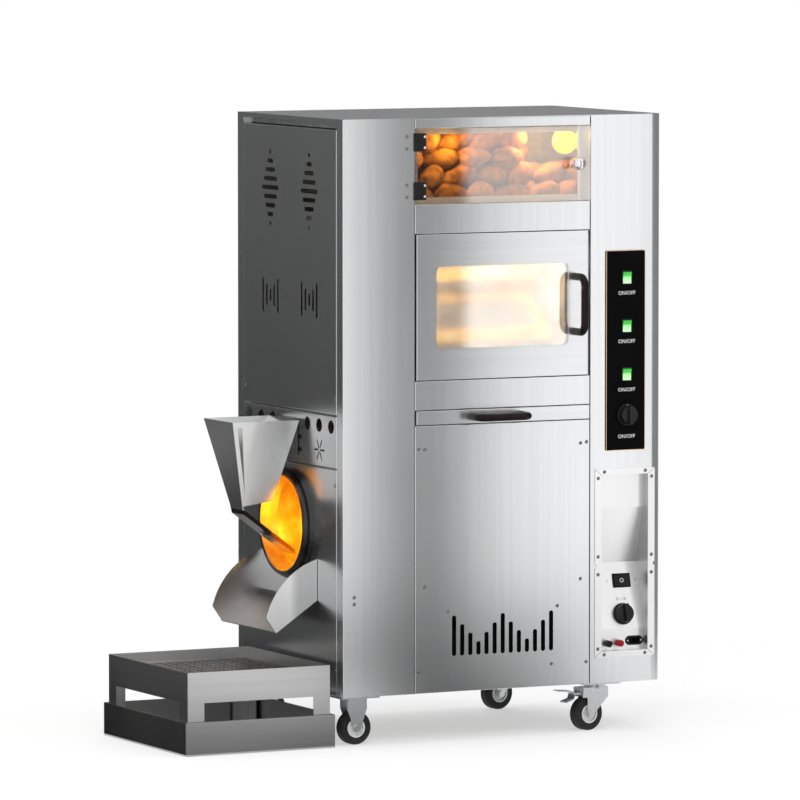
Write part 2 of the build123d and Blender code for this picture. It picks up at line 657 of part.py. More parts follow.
def frame():
    """Welded frame of square tubes, with the drawer runners and the drum's motor stand."""
    x_left, x_right = (FRAME_LEFT, FRAME_LEFT + TUBE), (FRAME_RIGHT - TUBE, FRAME_RIGHT)
    y_front, y_back = (FRAME_FRONT, FRAME_FRONT + TUBE), (FRAME_BACK - TUBE, FRAME_BACK)
    across, deep = (x_left[1], x_right[0]), (FRAME_FRONT, FRAME_BACK)
    inner_deep = (y_front[1], y_back[0])
    between_posts = (POST_FRONT + TUBE, POST_BACK - TUBE)
    pieces = []
    for z in ((BOTTOM, RAIL_TOP), (TOP_RAIL_UNDER, COVER_UNDER)):
        pieces += [tube(x, deep, z) for x in (x_left, x_right)]
        pieces += [tube(across, y, z) for y in (y_front, y_back)]
    for x in (x_left, x_right):
        for y in ((POST_FRONT, POST_FRONT + TUBE), (POST_BACK - TUBE, POST_BACK)):
            pieces.append(tube(x, y, (RAIL_TOP, TOP_RAIL_UNDER)))
    pieces.append(tube(x_left, between_posts, (UPPER_SEAM - TUBE / 2, CROSS_UNDER)))
    pieces.append(tube(x_left, between_posts, (LOWER_SEAM - TUBE / 2, LOWER_SEAM + TUBE / 2)))
    pieces.append(tube(x_right, between_posts, (CROSS_UNDER - TUBE, CROSS_UNDER)))
    for y in (CROSS_FRONT, CROSS_BACK):
        pieces.append(tube((FRAME_LEFT, FRAME_RIGHT), (y, y + TUBE), (CROSS_UNDER, OVEN_FLOOR)))
    pieces.append(tube(across, (WARMER_BACK - TUBE, WARMER_BACK), (TOP_RAIL_UNDER, COVER_UNDER)))
    caster_rails = [LEFT_CASTER_X + CASTER_RAIL_OFFSET, RIGHT_CASTER_X - CASTER_RAIL_OFFSET,
                    RIGHT_CASTER_X + CASTER_RAIL_OFFSET]
    for x in caster_rails:
        pieces.append(tube((x - TUBE / 2, x + TUBE / 2), inner_deep, (BOTTOM, RAIL_TOP)))
    middle = (MID_DEPTH - TUBE / 2, MID_DEPTH + TUBE / 2)
    pieces.append(tube((caster_rails[0] + TUBE / 2, caster_rails[1] - TUBE / 2), middle, (BOTTOM, RAIL_TOP)))
    return group(*pieces, *drawer_runners(), motor_stand())


def drawer_runners():
    """Two angle runners that hang from the cross rails and carry the crumb drawer."""
    length = (CROSS_FRONT, CROSS_BACK + TUBE)
    ledge_z = (LEDGE_TOP - LOOSE_FIT - SHEET, LEDGE_TOP - LOOSE_FIT)
    sides = []
    for edge, turn in ((DRAWER_PAN_LEFT - DRAWER_CLEARANCE, 1), (DRAWER_PAN_RIGHT + DRAWER_CLEARANCE, -1)):
        web = sorted((edge, edge - turn * SHEET))
        ledge = sorted((edge - turn * SHEET, edge + turn * DRAWER_LEDGE))
        sides.append(block(web, length, (ledge_z[0], CROSS_UNDER)) + block(ledge, length, ledge_z))
    return sides


def motor_stand():
    """Plate that stands on the middle rail and carries the drum's gear motor."""
    x = (STAND_X, STAND_X + STAND_PLATE)
    y = (MID_DEPTH - STAND_WIDTH / 2, MID_DEPTH + STAND_WIDTH / 2)
    plate = block(x, y, (RAIL_TOP, DRUM_Z + STAND_WIDTH / 2))
    hole = rod(SHAFT_RADIUS + STAND_HOLE_CLEARANCE, (x[0], MID_DEPTH, DRUM_Z), (x[1], MID_DEPTH, DRUM_Z))
    return plate - hole


def front_left_column():
    """Left front column: face, side return with its lip, and the jamb with its lip beside the doors."""
    full, between = (BOTTOM, COVER_UNDER), (RAIL_TOP, TOP_RAIL_UNDER)
    face = block((0, MID_LEFT), (0, SHEET), full)
    folds = [
        block((0, SHEET), (0, SIDE_RETURN), full),
        block((0, FRAME_INSET), (SIDE_RETURN - SHEET, SIDE_RETURN), full),
        block((MID_LEFT - SHEET, MID_LEFT), (0, LIP_BACK), between),
        block((MID_LEFT - SHEET, MID_LEFT + LIP_WIDTH), (LIP_DEPTH, LIP_BACK), between),
        block((0, MID_LEFT), (0, FRAME_INSET), (BOTTOM, BOTTOM + SHEET)),
        block((0, MID_LEFT), (0, FRAME_INSET), (COVER_UNDER - SHEET, COVER_UNDER)),
    ]
    column = face + folds
    corner = column.edges().filter_by(Axis.Z).sort_by(lambda edge: edge.center().X + edge.center().Y)[0]
    return fillet(corner, SHEET) - screw_holes(left_column_screws())


def front_right_column():
    """Right front column with its rounded outer corner and the openings for the controls."""
    full, between = (BOTTOM, COVER_UNDER), (RAIL_TOP, TOP_RAIL_UNDER)
    bend_x = CABINET_WIDTH - CORNER_BEND
    height = COVER_UNDER - BOTTOM
    ring = Cylinder(CORNER_BEND, height) - Cylinder(CORNER_BEND - SHEET, height)
    corner = Pos(bend_x, CORNER_BEND, (BOTTOM + COVER_UNDER) / 2) * ring
    corner &= block((bend_x, CABINET_WIDTH), (0, CORNER_BEND), full)
    folds = [
        corner,
        block((CABINET_WIDTH - SHEET, CABINET_WIDTH), (CORNER_BEND, SIDE_RETURN), full),
        block((CABINET_WIDTH - FRAME_INSET, CABINET_WIDTH), (SIDE_RETURN - SHEET, SIDE_RETURN), full),
        block((MID_RIGHT, MID_RIGHT + SHEET), (0, LIP_BACK), between),
        block((MID_RIGHT - LIP_WIDTH, MID_RIGHT + SHEET), (LIP_DEPTH, LIP_BACK), between),
        block((MID_RIGHT, bend_x), (0, FRAME_INSET), (BOTTOM, BOTTOM + SHEET)),
        block((MID_RIGHT, bend_x), (0, FRAME_INSET), (COVER_UNDER - SHEET, COVER_UNDER)),
    ]
    face = block((MID_RIGHT, bend_x), (0, SHEET), full)
    pocket = block((POCKET_LEFT - SHEET - LOOSE_FIT, POCKET_RIGHT + SHEET + LOOSE_FIT), (-SHEET, 2 * SHEET),
                   (POCKET_BOTTOM - SHEET - LOOSE_FIT, POCKET_TOP + SHEET + LOOSE_FIT))
    return face + folds - [pocket, *control_cuts(), *screw_holes(recess_screws())]


def control_cuts():
    """Openings behind the control panel for the switch bodies and the ignition knob's stem."""
    body = Rectangle(switch_body(ROCKER_WIDTH) + HOLE_CLEARANCE, switch_body(ROCKER_HEIGHT) + HOLE_CLEARANCE)
    cuts = [punch(front(CONTROL_X, level), body) for level in SWITCH_LEVELS]
    return cuts + [punch(front(CONTROL_X, IGNITION_Z), Circle(2 * KNOB_STEM_RADIUS))]


def bay_pan(bottom, top, depth):
    """Folded sheet across the middle bay."""
    return pan((MID_LEFT + SEAM, MID_RIGHT - SEAM), (0, depth), (bottom, top), "+y")


def front_rails():
    """Header, warmer rail and oven rail; the two rails hold the oven door's pivot pins."""
    header = bay_pan(WARMER_DOOR_TOP + SEAM, COVER_UNDER, FRAME_INSET)
    warmer_rail = bay_pan(OVEN_DOOR_TOP + SEAM, WARMER_RAIL_TOP, LIP_DEPTH)
    oven_rail = bay_pan(DRAWER_TOP + SEAM, OVEN_RAIL_TOP, LIP_DEPTH)
    pin = PIVOT_RADIUS + HOLE_CLEARANCE
    low, high = OVEN_DOOR_BOTTOM - 3 * SHEET, OVEN_DOOR_TOP + 3 * SHEET
    warmer_rail -= rod(pin, (PIVOT_X, PIVOT_Y, OVEN_DOOR_TOP), (PIVOT_X, PIVOT_Y, high))
    oven_rail -= rod(pin, (PIVOT_X, PIVOT_Y, low), (PIVOT_X, PIVOT_Y, OVEN_DOOR_BOTTOM))
    return group(header, warmer_rail, oven_rail)


def lower_front_panel():
    """Lower front panel with a row of upright vent slots of rising and falling lengths."""
    panel = bay_pan(BOTTOM, LOWER_PANEL_TOP, LIP_DEPTH)
    rail_room = block((MID_LEFT, MID_RIGHT), (FRAME_FRONT, LIP_BACK), (BOTTOM, RAIL_TOP))
    first = (MID_LEFT + MID_RIGHT) / 2 - FRONT_SLOT_PITCH * (len(FRONT_SLOT_LENGTHS) - 1) / 2
    slots = []
    for index, length in enumerate(FRONT_SLOT_LENGTHS):
        place = front(first + index * FRONT_SLOT_PITCH, BOTTOM + FRONT_SLOT_BOTTOM + length / 2)
        slots.append(punch(place, slot(FRONT_SLOT_WIDTH, length)))
    return panel - [rail_room, *slots, *screw_holes(lower_panel_screws())]


def left_pan(bottom, top):
    """Folded side panel that sits between the left column and the back panel."""
    return pan((0, FRAME_INSET), (PANEL_FRONT, PANEL_BACK), (bottom, top), "+x")


def left_upper_panel():
    """Upper left panel with two diamonds of level slots and two hourglasses of upright slots."""
    cuts = []
    for y in (MID_DEPTH - VENT_OFFSET, MID_DEPTH + VENT_OFFSET):
        for row, length in enumerate(DIAMOND_LENGTHS):
            rise = (row - (len(DIAMOND_LENGTHS) - 1) / 2) * DIAMOND_PITCH
            cuts.append(punch(left(y, CABINET_TOP - DIAMOND_DROP + rise), slot(length, DIAMOND_SLOT)))
        for row, length in enumerate(HOURGLASS_LENGTHS):
            shift = (row - (len(HOURGLASS_LENGTHS) - 1) / 2) * HOURGLASS_PITCH
            cuts.append(punch(left(y + shift, CABINET_TOP - HOURGLASS_DROP), slot(HOURGLASS_SLOT, length)))
    panel = left_pan(UPPER_SIDE_BOTTOM, PANEL_TOP)
    return panel - [*cuts, *screw_holes(left_panel_screws(UPPER_SIDE_SCREWS))]


def left_vent_panel():
    """Narrow left panel with round vents, two six-ray stars and the hopper's hook slots."""
    cuts = []
    for side in (-1, 1):
        for offset in ROUND_VENT_OFFSETS:
            place = left(MID_DEPTH + side * offset, VENT_STRIP_BOTTOM + ROUND_VENT_RISE)
            cuts.append(punch(place, Circle(ROUND_VENT_RADIUS)))
        star = left(MID_DEPTH + side * STAR_OFFSET, VENT_STRIP_BOTTOM + STAR_RISE)
        for turn in range(0, 360, 60):
            ray = Rot(0, 0, turn) * Pos(STAR_RAY / 2 + STAR_SLOT, 0) * slot(STAR_RAY, STAR_SLOT)
            cuts.append(punch(star, ray))
        for rise in HOOK_SLOT_RISES:
            hook = left(MID_DEPTH + side * HOOK_SLOT_OFFSET, VENT_STRIP_BOTTOM + rise)
            cuts.append(punch(hook, Rectangle(HOOK_SLOT, HOOK_SLOT)))
    return left_pan(VENT_STRIP_BOTTOM, VENT_STRIP_TOP) - cuts


def left_lower_panel():
    """Lower left panel with the round opening for the drum's mouth."""
    panel = left_pan(BOTTOM, LOWER_SIDE_TOP)
    mouth = punch(left(MID_DEPTH, DRUM_Z), Circle(COLLAR_RADIUS - COLLAR_SEAT))
    return panel - [mouth, *screw_holes(left_panel_screws(LOWER_SIDE_SCREWS))]


def rear_slots(place):
    """Stack of level vent slots about a place on the back or the right side."""
    rises = [(row - (REAR_SLOT_COUNT - 1) / 2) * REAR_SLOT_PITCH for row in range(REAR_SLOT_COUNT)]
    return [punch(place, Pos(0, rise) * slot(REAR_SLOT_LENGTH, REAR_SLOT_WIDTH)) for rise in rises]


def right_side_panel():
    """Right side panel with cooling slots beside the electrics."""
    x = (CABINET_WIDTH - FRAME_INSET, CABINET_WIDTH)
    panel = pan(x, (PANEL_FRONT, PANEL_BACK), (BOTTOM, PANEL_TOP), "-x")
    return panel - rear_slots(left(MID_DEPTH, BOTTOM + SUPPLY_HEIGHT, CABINET_WIDTH))


def back_panel():
    """Back panel with side returns, flue slots high up, air slots low down and the gas inlet's hole."""
    full = (BOTTOM, COVER_UNDER)
    sheet_back = (CABINET_DEPTH - SHEET, CABINET_DEPTH)
    plate = block((0, CABINET_WIDTH), sheet_back, full)
    folds = []
    for wall, lip in (((0, SHEET), (0, FRAME_INSET)),
                      ((CABINET_WIDTH - SHEET, CABINET_WIDTH), (FRAME_RIGHT, CABINET_WIDTH))):
        edge = CABINET_DEPTH - SIDE_RETURN
        folds.append(block(wall, (edge, CABINET_DEPTH), full))
        folds.append(block(lip, (edge, edge + SHEET), full))
    for z in ((BOTTOM, BOTTOM + SHEET), (COVER_UNDER - SHEET, COVER_UNDER)):
        folds.append(block((0, CABINET_WIDTH), (FRAME_BACK, CABINET_DEPTH), z))
    cuts = [punch(front(CONTROL_X, IGNITION_Z, CABINET_DEPTH), Circle(NIPPLE_NECK_RADIUS + HOLE_CLEARANCE))]
    middle = (MID_LEFT + MID_RIGHT) / 2
    for x in (middle - REAR_STACK_PITCH, middle, middle + REAR_STACK_PITCH):
        cuts += rear_slots(front(x, OVEN_CEILING, CABINET_DEPTH))
        cuts += rear_slots(front(x, BURNER_Z, CABINET_DEPTH))
    return plate + folds - cuts


def top_cover():
    """Flat top cover with one rounded corner and short flanges over the sides."""
    plate = block((0, CABINET_WIDTH), (0, CABINET_DEPTH), (COVER_UNDER, CABINET_TOP))
    corner = plate.edges().filter_by(Axis.Z).sort_by(lambda edge: edge.center().X - edge.center().Y)[-1]
    plate = fillet(corner, CORNER_BEND)
    drop = (COVER_UNDER - COVER_FLANGE, COVER_UNDER)
    sides = ((0, SHEET), (CABINET_WIDTH - SHEET, CABINET_WIDTH))
    return plate + [block(x, (PANEL_FRONT, PANEL_BACK), drop) for x in sides]


# Warming cabinet


def hinge_levels():
    """Heights of the middles of the two warmer hinges."""
    inset = LEAF_INSET + LEAF_HEIGHT / 2
    return (WARMER_DOOR_BOTTOM + inset, WARMER_DOOR_TOP - inset)


def warmer_liner():
    """Open-fronted liner box behind the clear door; its front edge shows as a border inside the pane."""
    x, y = (WARMER_LEFT, WARMER_RIGHT), (LIP_BACK, WARMER_BACK)
    z = (WARMER_DOOR_BOTTOM - WARMER_SILL, TOP_RAIL_UNDER)
    shell = block(x, y, z)
    inside = block(*[(low + SHEET, high - SHEET) for low, high in (x, y, z)])
    doorway = block((MID_LEFT + LIP_WIDTH, MID_RIGHT - LIP_WIDTH), (LIP_DEPTH, LIP_BACK + 2 * SHEET),
                    (WARMER_DOOR_BOTTOM + WARMER_SILL, WARMER_DOOR_TOP - WARMER_SILL))
    return shell - [inside, doorway]


def warmer_door_pane():
    """Clear door pane."""
    x = (MID_LEFT + WARMER_GAP, MID_RIGHT - WARMER_GAP)
    return block(x, (0, PANE), (WARMER_DOOR_BOTTOM, WARMER_DOOR_TOP))


def barrel(bottom, top, radius):
    """Upright round length on the warmer hinge's axis."""
    return rod(radius, (BARREL_X, BARREL_Y, bottom), (BARREL_X, BARREL_Y, top))


def knuckle(level):
    """Limits of the fixed middle knuckle of a warmer hinge."""
    return level - LEAF_HEIGHT / 6, level + LEAF_HEIGHT / 6


def warmer_door_hinges():
    """Moving leaves of the two warmer hinges, flat on the pane, each with an upper and a lower knuckle."""
    leaves = []
    for level in hinge_levels():
        low, high = level - LEAF_HEIGHT / 2, level + LEAF_HEIGHT / 2
        inner_low, inner_high = knuckle(level)
        leaf = block((BARREL_X, MID_LEFT + WARMER_GAP + LEAF_WIDTH), (-LEAF, 0), (low, high))
        leaf += barrel(low, inner_low - BARREL_GAP, BARREL_RADIUS)
        leaf += barrel(inner_high + BARREL_GAP, high, BARREL_RADIUS)
        room = BARREL_RADIUS + BARREL_GAP
        leaf -= block((BARREL_X - room, BARREL_X + room), (BARREL_Y - room, BARREL_Y + room + LEAF),
                      (inner_low - BARREL_GAP, inner_high + BARREL_GAP))
        leaves.append(leaf - barrel(low - 1, high + 1, BARREL_PIN_RADIUS + RUNNING_FIT))
    return group(*leaves)


def door_hinges():
    """Fixed leaves of the warmer hinges, on the jamb with their pins, and the oven door's two pivot pins."""
    pieces = []
    for level in hinge_levels():
        low, high = level - LEAF_HEIGHT / 2, level + LEAF_HEIGHT / 2
        inner_low, inner_high = knuckle(level)
        leaf = block((MID_LEFT, MID_LEFT + LEAF), (BARREL_GAP, LIP_DEPTH), (low, high))
        leaf += block((MID_LEFT, MID_LEFT + LEAF), (BARREL_Y, BARREL_GAP), (inner_low, inner_high))
        leaf += barrel(inner_low, inner_high, BARREL_RADIUS)
        pieces.append(leaf + barrel(low, high, BARREL_PIN_RADIUS))
    for seat, turn in ((OVEN_DOOR_TOP + SEAM + SHEET, 1), (OVEN_DOOR_BOTTOM - SEAM - SHEET, -1)):
        head = (PIVOT_X, PIVOT_Y, seat + turn * PIVOT_HEAD)
        pin = rod(PIVOT_HEAD_RADIUS, (PIVOT_X, PIVOT_Y, seat), head)
        pieces.append(pin + rod(PIVOT_RADIUS, head, (PIVOT_X, PIVOT_Y, seat - turn * PIVOT_LENGTH)))
    return group(*pieces)


def warmer_door_knob():
    """Turned ball knob on a short stem with a round foot."""
    ball = WARMER_KNOB_REACH - WARMER_KNOB_RADIUS
    foot = Cylinder(WARMER_KNOB_FOOT_RADIUS, WARMER_KNOB_FOOT, align=UPRIGHT)
    stem = Cylinder(WARMER_KNOB_STEM_RADIUS, ball, align=UPRIGHT)
    shape = eased(foot, WARMER_KNOB_FOOT / 4) + [stem, Pos(0, 0, ball) * Sphere(WARMER_KNOB_RADIUS)]
    middle = (WARMER_DOOR_BOTTOM + WARMER_DOOR_TOP) / 2
    return front(MID_RIGHT - WARMER_KNOB_INSET, middle) * shape


def lamp(wall_x, y, z):
    """Holder on a right-hand wall and a bulb, turned about its own axis, that points left out of it."""
    start = wall_x - LAMP_HOLDER_LENGTH
    globe_x = start - BULB_LENGTH + BULB_RADIUS
    neck_x = globe_x + math.sqrt(BULB_RADIUS ** 2 - BULB_NECK_RADIUS ** 2)
    tip, neck = (globe_x - BULB_RADIUS, y, z), (neck_x, y, z + BULB_NECK_RADIUS)
    side = ThreePointArc(tip, (globe_x, y, z + BULB_RADIUS), neck)
    outline = [side, Polyline(neck, (start, y, z + BULB_NECK_RADIUS), (start, y, z), tip)]
    bulb = revolve(make_face(outline), Axis((globe_x, y, z), (1, 0, 0)))
    return [rod(LAMP_HOLDER_RADIUS, (wall_x, y, z), (start, y, z)), bulb]


def lamps():
    """One lamp in the warming cabinet and one in the oven."""
    warmer = lamp(WARMER_RIGHT - SHEET, LIP_BACK + WARMER_LAMP_Y, TOP_RAIL_UNDER - SHEET - WARMER_LAMP_DROP)
    oven = lamp(OVEN_RIGHT - SHEET, LIP_BACK + OVEN_LAMP_Y, OVEN_CEILING - OVEN_LAMP_DROP)
    return group(*warmer, *oven)


# Oven


def oven_liner():
    """Oven box with a doorway and the rack shaft's bearing bosses."""
    x, y, z = (OVEN_LEFT, OVEN_RIGHT), (LIP_BACK, OVEN_BACK), (OVEN_FLOOR, OVEN_CEILING)
    inside = block(*[(low + SHEET, high - SHEET) for low, high in (x, y, z)])
    doorway_x = (MID_LEFT + DOORWAY_MARGIN, MID_RIGHT - DOORWAY_MARGIN)
    doorway_z = (OVEN_DOOR_BOTTOM + DOORWAY_HEIGHT_MARGIN, OVEN_DOOR_TOP - DOORWAY_HEIGHT_MARGIN)
    doorway = block(doorway_x, (LIP_DEPTH, LIP_BACK + 2 * SHEET), doorway_z)
    boss = rod(BEARING_RADIUS, (x[0] - BEARING_LENGTH, RACK_Y, RACK_Z), (x[0], RACK_Y, RACK_Z))
    bore = rod(SHAFT_RADIUS + RUNNING_FIT, (x[0] - BEARING_LENGTH, RACK_Y, RACK_Z), (x[1], RACK_Y, RACK_Z))
    return block(x, y, z) + boss - [inside, doorway, bore]


def window(grow, place):
    """Outline of the oven window, grown by an amount all round."""
    return place * RectangleRounded(WINDOW_WIDTH + 2 * grow, WINDOW_HEIGHT + 2 * grow, WINDOW_CORNER + grow)


def oven_door_skin():
    """Folded outer shell of the oven door with its window and the pivot holes."""
    shell = pan((DOOR_LEFT, DOOR_RIGHT), (0, DOOR_DEPTH), (OVEN_DOOR_BOTTOM, OVEN_DOOR_TOP), "+y")
    opening = extrude(window(0, front(WINDOW_X, WINDOW_Z)), 2 * SHEET, both=True)
    axis = [(PIVOT_X, PIVOT_Y, z) for z in (OVEN_DOOR_BOTTOM - 1, OVEN_DOOR_TOP + 1)]
    return shell - [opening, rod(PIVOT_RADIUS + RUNNING_FIT, *axis)]


def oven_door_liner():
    """Inner plate of the oven door with the same window."""
    plate = block((DOOR_LEFT + SHEET, DOOR_RIGHT - SHEET), (DOOR_DEPTH - SHEET, DOOR_DEPTH),
                  (OVEN_DOOR_BOTTOM + SHEET, OVEN_DOOR_TOP - SHEET))
    return plate - extrude(window(0, front(WINDOW_X, WINDOW_Z)), 2 * DOOR_DEPTH, both=True)


def oven_door_glass():
    """Window glass held behind the outer shell."""
    return extrude(window(GLASS_OVERLAP, front(WINDOW_X, WINDOW_Z, SHEET)), -GLASS)


def d_handle():
    """Bow handle along local x: two feet, rounded bends and a straight grip standing off the surface."""
    half = HANDLE_LENGTH / 2 - GRIP_RADIUS
    out = HANDLE_REACH - GRIP_RADIUS
    path = FilletPolyline((-half, 0, 0), (-half, 0, out), (half, 0, out), (half, 0, 0), radius=GRIP_BEND)
    return sweep(Plane(origin=(-half, 0, 0)) * Circle(GRIP_RADIUS), path=path)


def oven_door_handle():
    return front(HANDLE_X, HANDLE_Z) * Rot(0, 0, 90) * d_handle()


def rack_x():
    """Limits of the rack between its two end stars."""
    return OVEN_LEFT + SHEET + RACK_END_GAP, OVEN_RIGHT - SHEET - RACK_END_GAP


def basket_pivots():
    """Pivots of the baskets round the rack's axis at rest."""
    arms = [Vector(RACK_RADIUS, 0).rotate(Axis.Z, RACK_REST_ANGLE + 90 * index) for index in range(4)]
    return [(RACK_Y + arm.X, RACK_Z + arm.Y) for arm in arms]


def rack_frame():
    """Rotary rack: the shaft, a four-armed star near each end, and the baskets' pivot pins."""
    start, end = rack_x()
    shaft = rod(SHAFT_RADIUS, (OVEN_LEFT - BEARING_LENGTH, RACK_Y, RACK_Z),
                (OVEN_RIGHT + GEARBOX_BORE_DEPTH - LOOSE_FIT, RACK_Y, RACK_Z))
    pieces = []
    for x, turn in ((start, 1), (end, -1)):
        star = Plane(origin=(x, RACK_Y, RACK_Z), x_dir=(0, 1, 0), z_dir=(turn, 0, 0))
        arm = Rectangle(2 * RACK_RADIUS + RACK_ARM_WIDTH, RACK_ARM_WIDTH)
        quarter = turn * RACK_REST_ANGLE
        pieces += [extrude(star * Rot(0, 0, quarter + right) * arm, RACK_ARM) for right in (0, 90)]
        face = x + turn * RACK_ARM
        tip = face + turn * BASKET_PIN_LENGTH
        pieces += [rod(BASKET_PIN_RADIUS, (x, y, z), (tip, y, z)) for y, z in basket_pivots()]
    return shaft + pieces


def basket(y, z):
    """Level tray with low walls that hangs on the rack's pins by two end plates."""
    start, end = rack_x()
    x = (start + RACK_ARM + BASKET_END_GAP, end - RACK_ARM - BASKET_END_GAP)
    floor_z = z - BASKET_HANG
    tray = pan(x, (y - BASKET_WIDTH / 2, y + BASKET_WIDTH / 2), (floor_z, floor_z + BASKET_WALL), "+z")
    half = BASKET_WIDTH / 2
    corners = [(-half, floor_z - z), (half, floor_z - z), (half, floor_z - z + BASKET_WALL), (BASKET_EAR, 0),
               (-BASKET_EAR, 0), (-half, floor_z - z + BASKET_WALL)]
    ear = make_face(Polyline(*corners, close=True)) + Circle(BASKET_EAR)
    ends = []
    for side in (x[0], x[1] - SHEET):
        ends.append(extrude(Plane(origin=(side, y, z), x_dir=(0, 1, 0), z_dir=(1, 0, 0)) * ear, SHEET))
    hole = rod(BASKET_PIN_RADIUS + RUNNING_FIT, (x[0] - 1, y, z), (x[1] + 1, y, z))
    return tray + ends - hole


# Crumb drawer


def drawer_pan():
    """Crumb drawer: its folded front and the pan behind it, made as one piece."""
    face = pan((MID_LEFT + DOOR_GAP, MID_RIGHT - SEAM), (0, FRAME_INSET), (DRAWER_BOTTOM, DRAWER_TOP), "+y")
    z = (LEDGE_TOP, DRAWER_TOP - DRAWER_WALL_DROP)
    return face + pan((DRAWER_PAN_LEFT, DRAWER_PAN_RIGHT), (0, DRAWER_DEPTH), z, "+z")


def drawer_handle():
    return front(MID_LEFT + DRAWER_HANDLE_X, (DRAWER_BOTTOM + DRAWER_TOP) / 2) * d_handle()


# Nut drum


def turned(*outline):
    """Body turned about the drum's axis from points given as place along x and radius."""
    profile = make_face(Polyline(*[(x, 0, radius) for x, radius in outline], close=True))
    return Pos(0, MID_DEPTH, DRUM_Z) * revolve(profile, Axis.X)


def drum_shell():
    """Roasting drum: open neck, cone, barrel, closed back, drive shaft and welded lifters."""
    cone_end = NECK_END + CONE_LENGTH
    wall, back = DRUM_WALL, DRUM_END + DRUM_WALL
    shell = turned((-MOUTH_REACH, MOUTH_RADIUS), (NECK_END, MOUTH_RADIUS), (cone_end, DRUM_RADIUS),
                   (DRUM_END, DRUM_RADIUS), (DRUM_END, 0), (back, 0), (back, DRUM_RADIUS + wall),
                   (cone_end, DRUM_RADIUS + wall), (NECK_END, NECK_RADIUS), (-MOUTH_REACH, NECK_RADIUS))
    shaft_end = STAND_X + STAND_PLATE + GEARBOX_BORE_DEPTH - LOOSE_FIT
    shaft = rod(SHAFT_RADIUS, (DRUM_END, MID_DEPTH, DRUM_Z), (shaft_end, MID_DEPTH, DRUM_Z))
    lifter_z = (DRUM_RADIUS - LIFTER_HEIGHT, DRUM_RADIUS + wall / 2)
    lifter = block((cone_end, back), (-wall / 2, wall / 2), lifter_z)
    turns = [360 / LIFTER_COUNT * index + 180 / LIFTER_COUNT for index in range(LIFTER_COUNT)]
    return shell + [shaft, *[Pos(0, MID_DEPTH, DRUM_Z) * Rot(turn, 0, 0) * lifter for turn in turns]]


def drum_rim():
    """Black ring round the drum's neck."""
    return turned((-MOUTH_REACH, NECK_RADIUS), (RIM_TAIL, NECK_RADIUS), (RIM_TAIL, RIM_RADIUS),
                  (-MOUTH_REACH, RIM_RADIUS))


def mouth_collar():
    """Fixed guide ring on the side panel, round the drum's rim."""
    return turned((-COLLAR_REACH, RIM_RADIUS + LOOSE_FIT), (0, RIM_RADIUS + LOOSE_FIT), (0, COLLAR_RADIUS),
                  (-COLLAR_REACH, COLLAR_RADIUS))


def gear_motor(x, y, z):
    """Gear motor whose bored gearbox starts at a wall and whose motor points to the right."""
    body_end = x + GEARBOX_LENGTH
    half = GEARBOX / 2
    box = block((x, body_end), (y - half, y + half), (z - half, z + half))
    can = rod(MOTOR_RADIUS, (body_end, y, z), (body_end + MOTOR_LENGTH, y, z))
    bore = rod(SHAFT_RADIUS + RUNNING_FIT, (x - 1, y, z), (x + GEARBOX_BORE_DEPTH, y, z))
    return box + can - bore


def gear_motors():
    """Two like gear motors: one drives the drum and one drives the rack."""
    return group(gear_motor(STAND_X + STAND_PLATE, MID_DEPTH, DRUM_Z), gear_motor(OVEN_RIGHT, RACK_Y, RACK_Z))


def gas_burner():
    """Tube burner under the drum on two feet that stand on the middle rail."""
    y = (MID_DEPTH - BURNER_FOOT_WIDTH / 2, MID_DEPTH + BURNER_FOOT_WIDTH / 2)
    starts = (BURNER_START + BURNER_FOOT, BURNER_END - 2 * BURNER_FOOT)
    feet = [block((x, x + BURNER_FOOT), y, (RAIL_TOP, BURNER_Z)) for x in starts]
    return rod(BURNER_RADIUS, (BURNER_START, MID_DEPTH, BURNER_Z), (BURNER_END, MID_DEPTH, BURNER_Z)) + feet


def gas_line():
    """Inlet nipple at the back, supply pipe, valve behind the ignition knob, and the pipe to the burner."""
    x, z, inside = CONTROL_X, IGNITION_Z, CABINET_DEPTH - SHEET
    nut_end = CABINET_DEPTH + NIPPLE_NUT
    nipple = rod(NIPPLE_RADIUS, (x, nut_end, z), (x, CABINET_DEPTH + NIPPLE_REACH, z))
    nipple += [rod(NIPPLE_NUT_RADIUS, (x, CABINET_DEPTH, z), (x, nut_end, z)),
               rod(NIPPLE_NECK_RADIUS, (x, inside, z), (x, CABINET_DEPTH, z)),
               rod(NIPPLE_FLANGE_RADIUS, (x, inside, z), (x, inside - NIPPLE_FLANGE, z))]
    half = VALVE_WIDTH / 2
    valve_y = (SHEET, SHEET + VALVE_DEPTH)
    valve = block((x - half, x + half), valve_y, (z - half, z + half))
    valve -= rod(2 * KNOB_STEM_RADIUS, (x, 0, z), (x, SHEET + KNOB_STEM, z))
    supply = rod(GAS_PIPE_RADIUS, (x, inside - NIPPLE_FLANGE, z), (x, valve_y[1], z))
    low, turn_x = BURNER_Z, BURNER_END + GAS_PIPE_TURN
    start = (x, GAS_PIPE_INSET, z - half)
    route = FilletPolyline(start, (x, GAS_PIPE_INSET, low), (turn_x, GAS_PIPE_INSET, low),
                           (turn_x, MID_DEPTH, low), (BURNER_END, MID_DEPTH, low), radius=GAS_PIPE_BEND)
    feed = sweep(Plane(origin=start, z_dir=(0, 0, -1)) * Circle(GAS_PIPE_RADIUS), path=route)
    return group(nipple, supply, valve, feed)


# Controls


def switch_body(opening):
    """Outside size of a switch body for a rocker of that size."""
    return opening + 2 * (ROCKER_CLEARANCE + SWITCH_WALL)


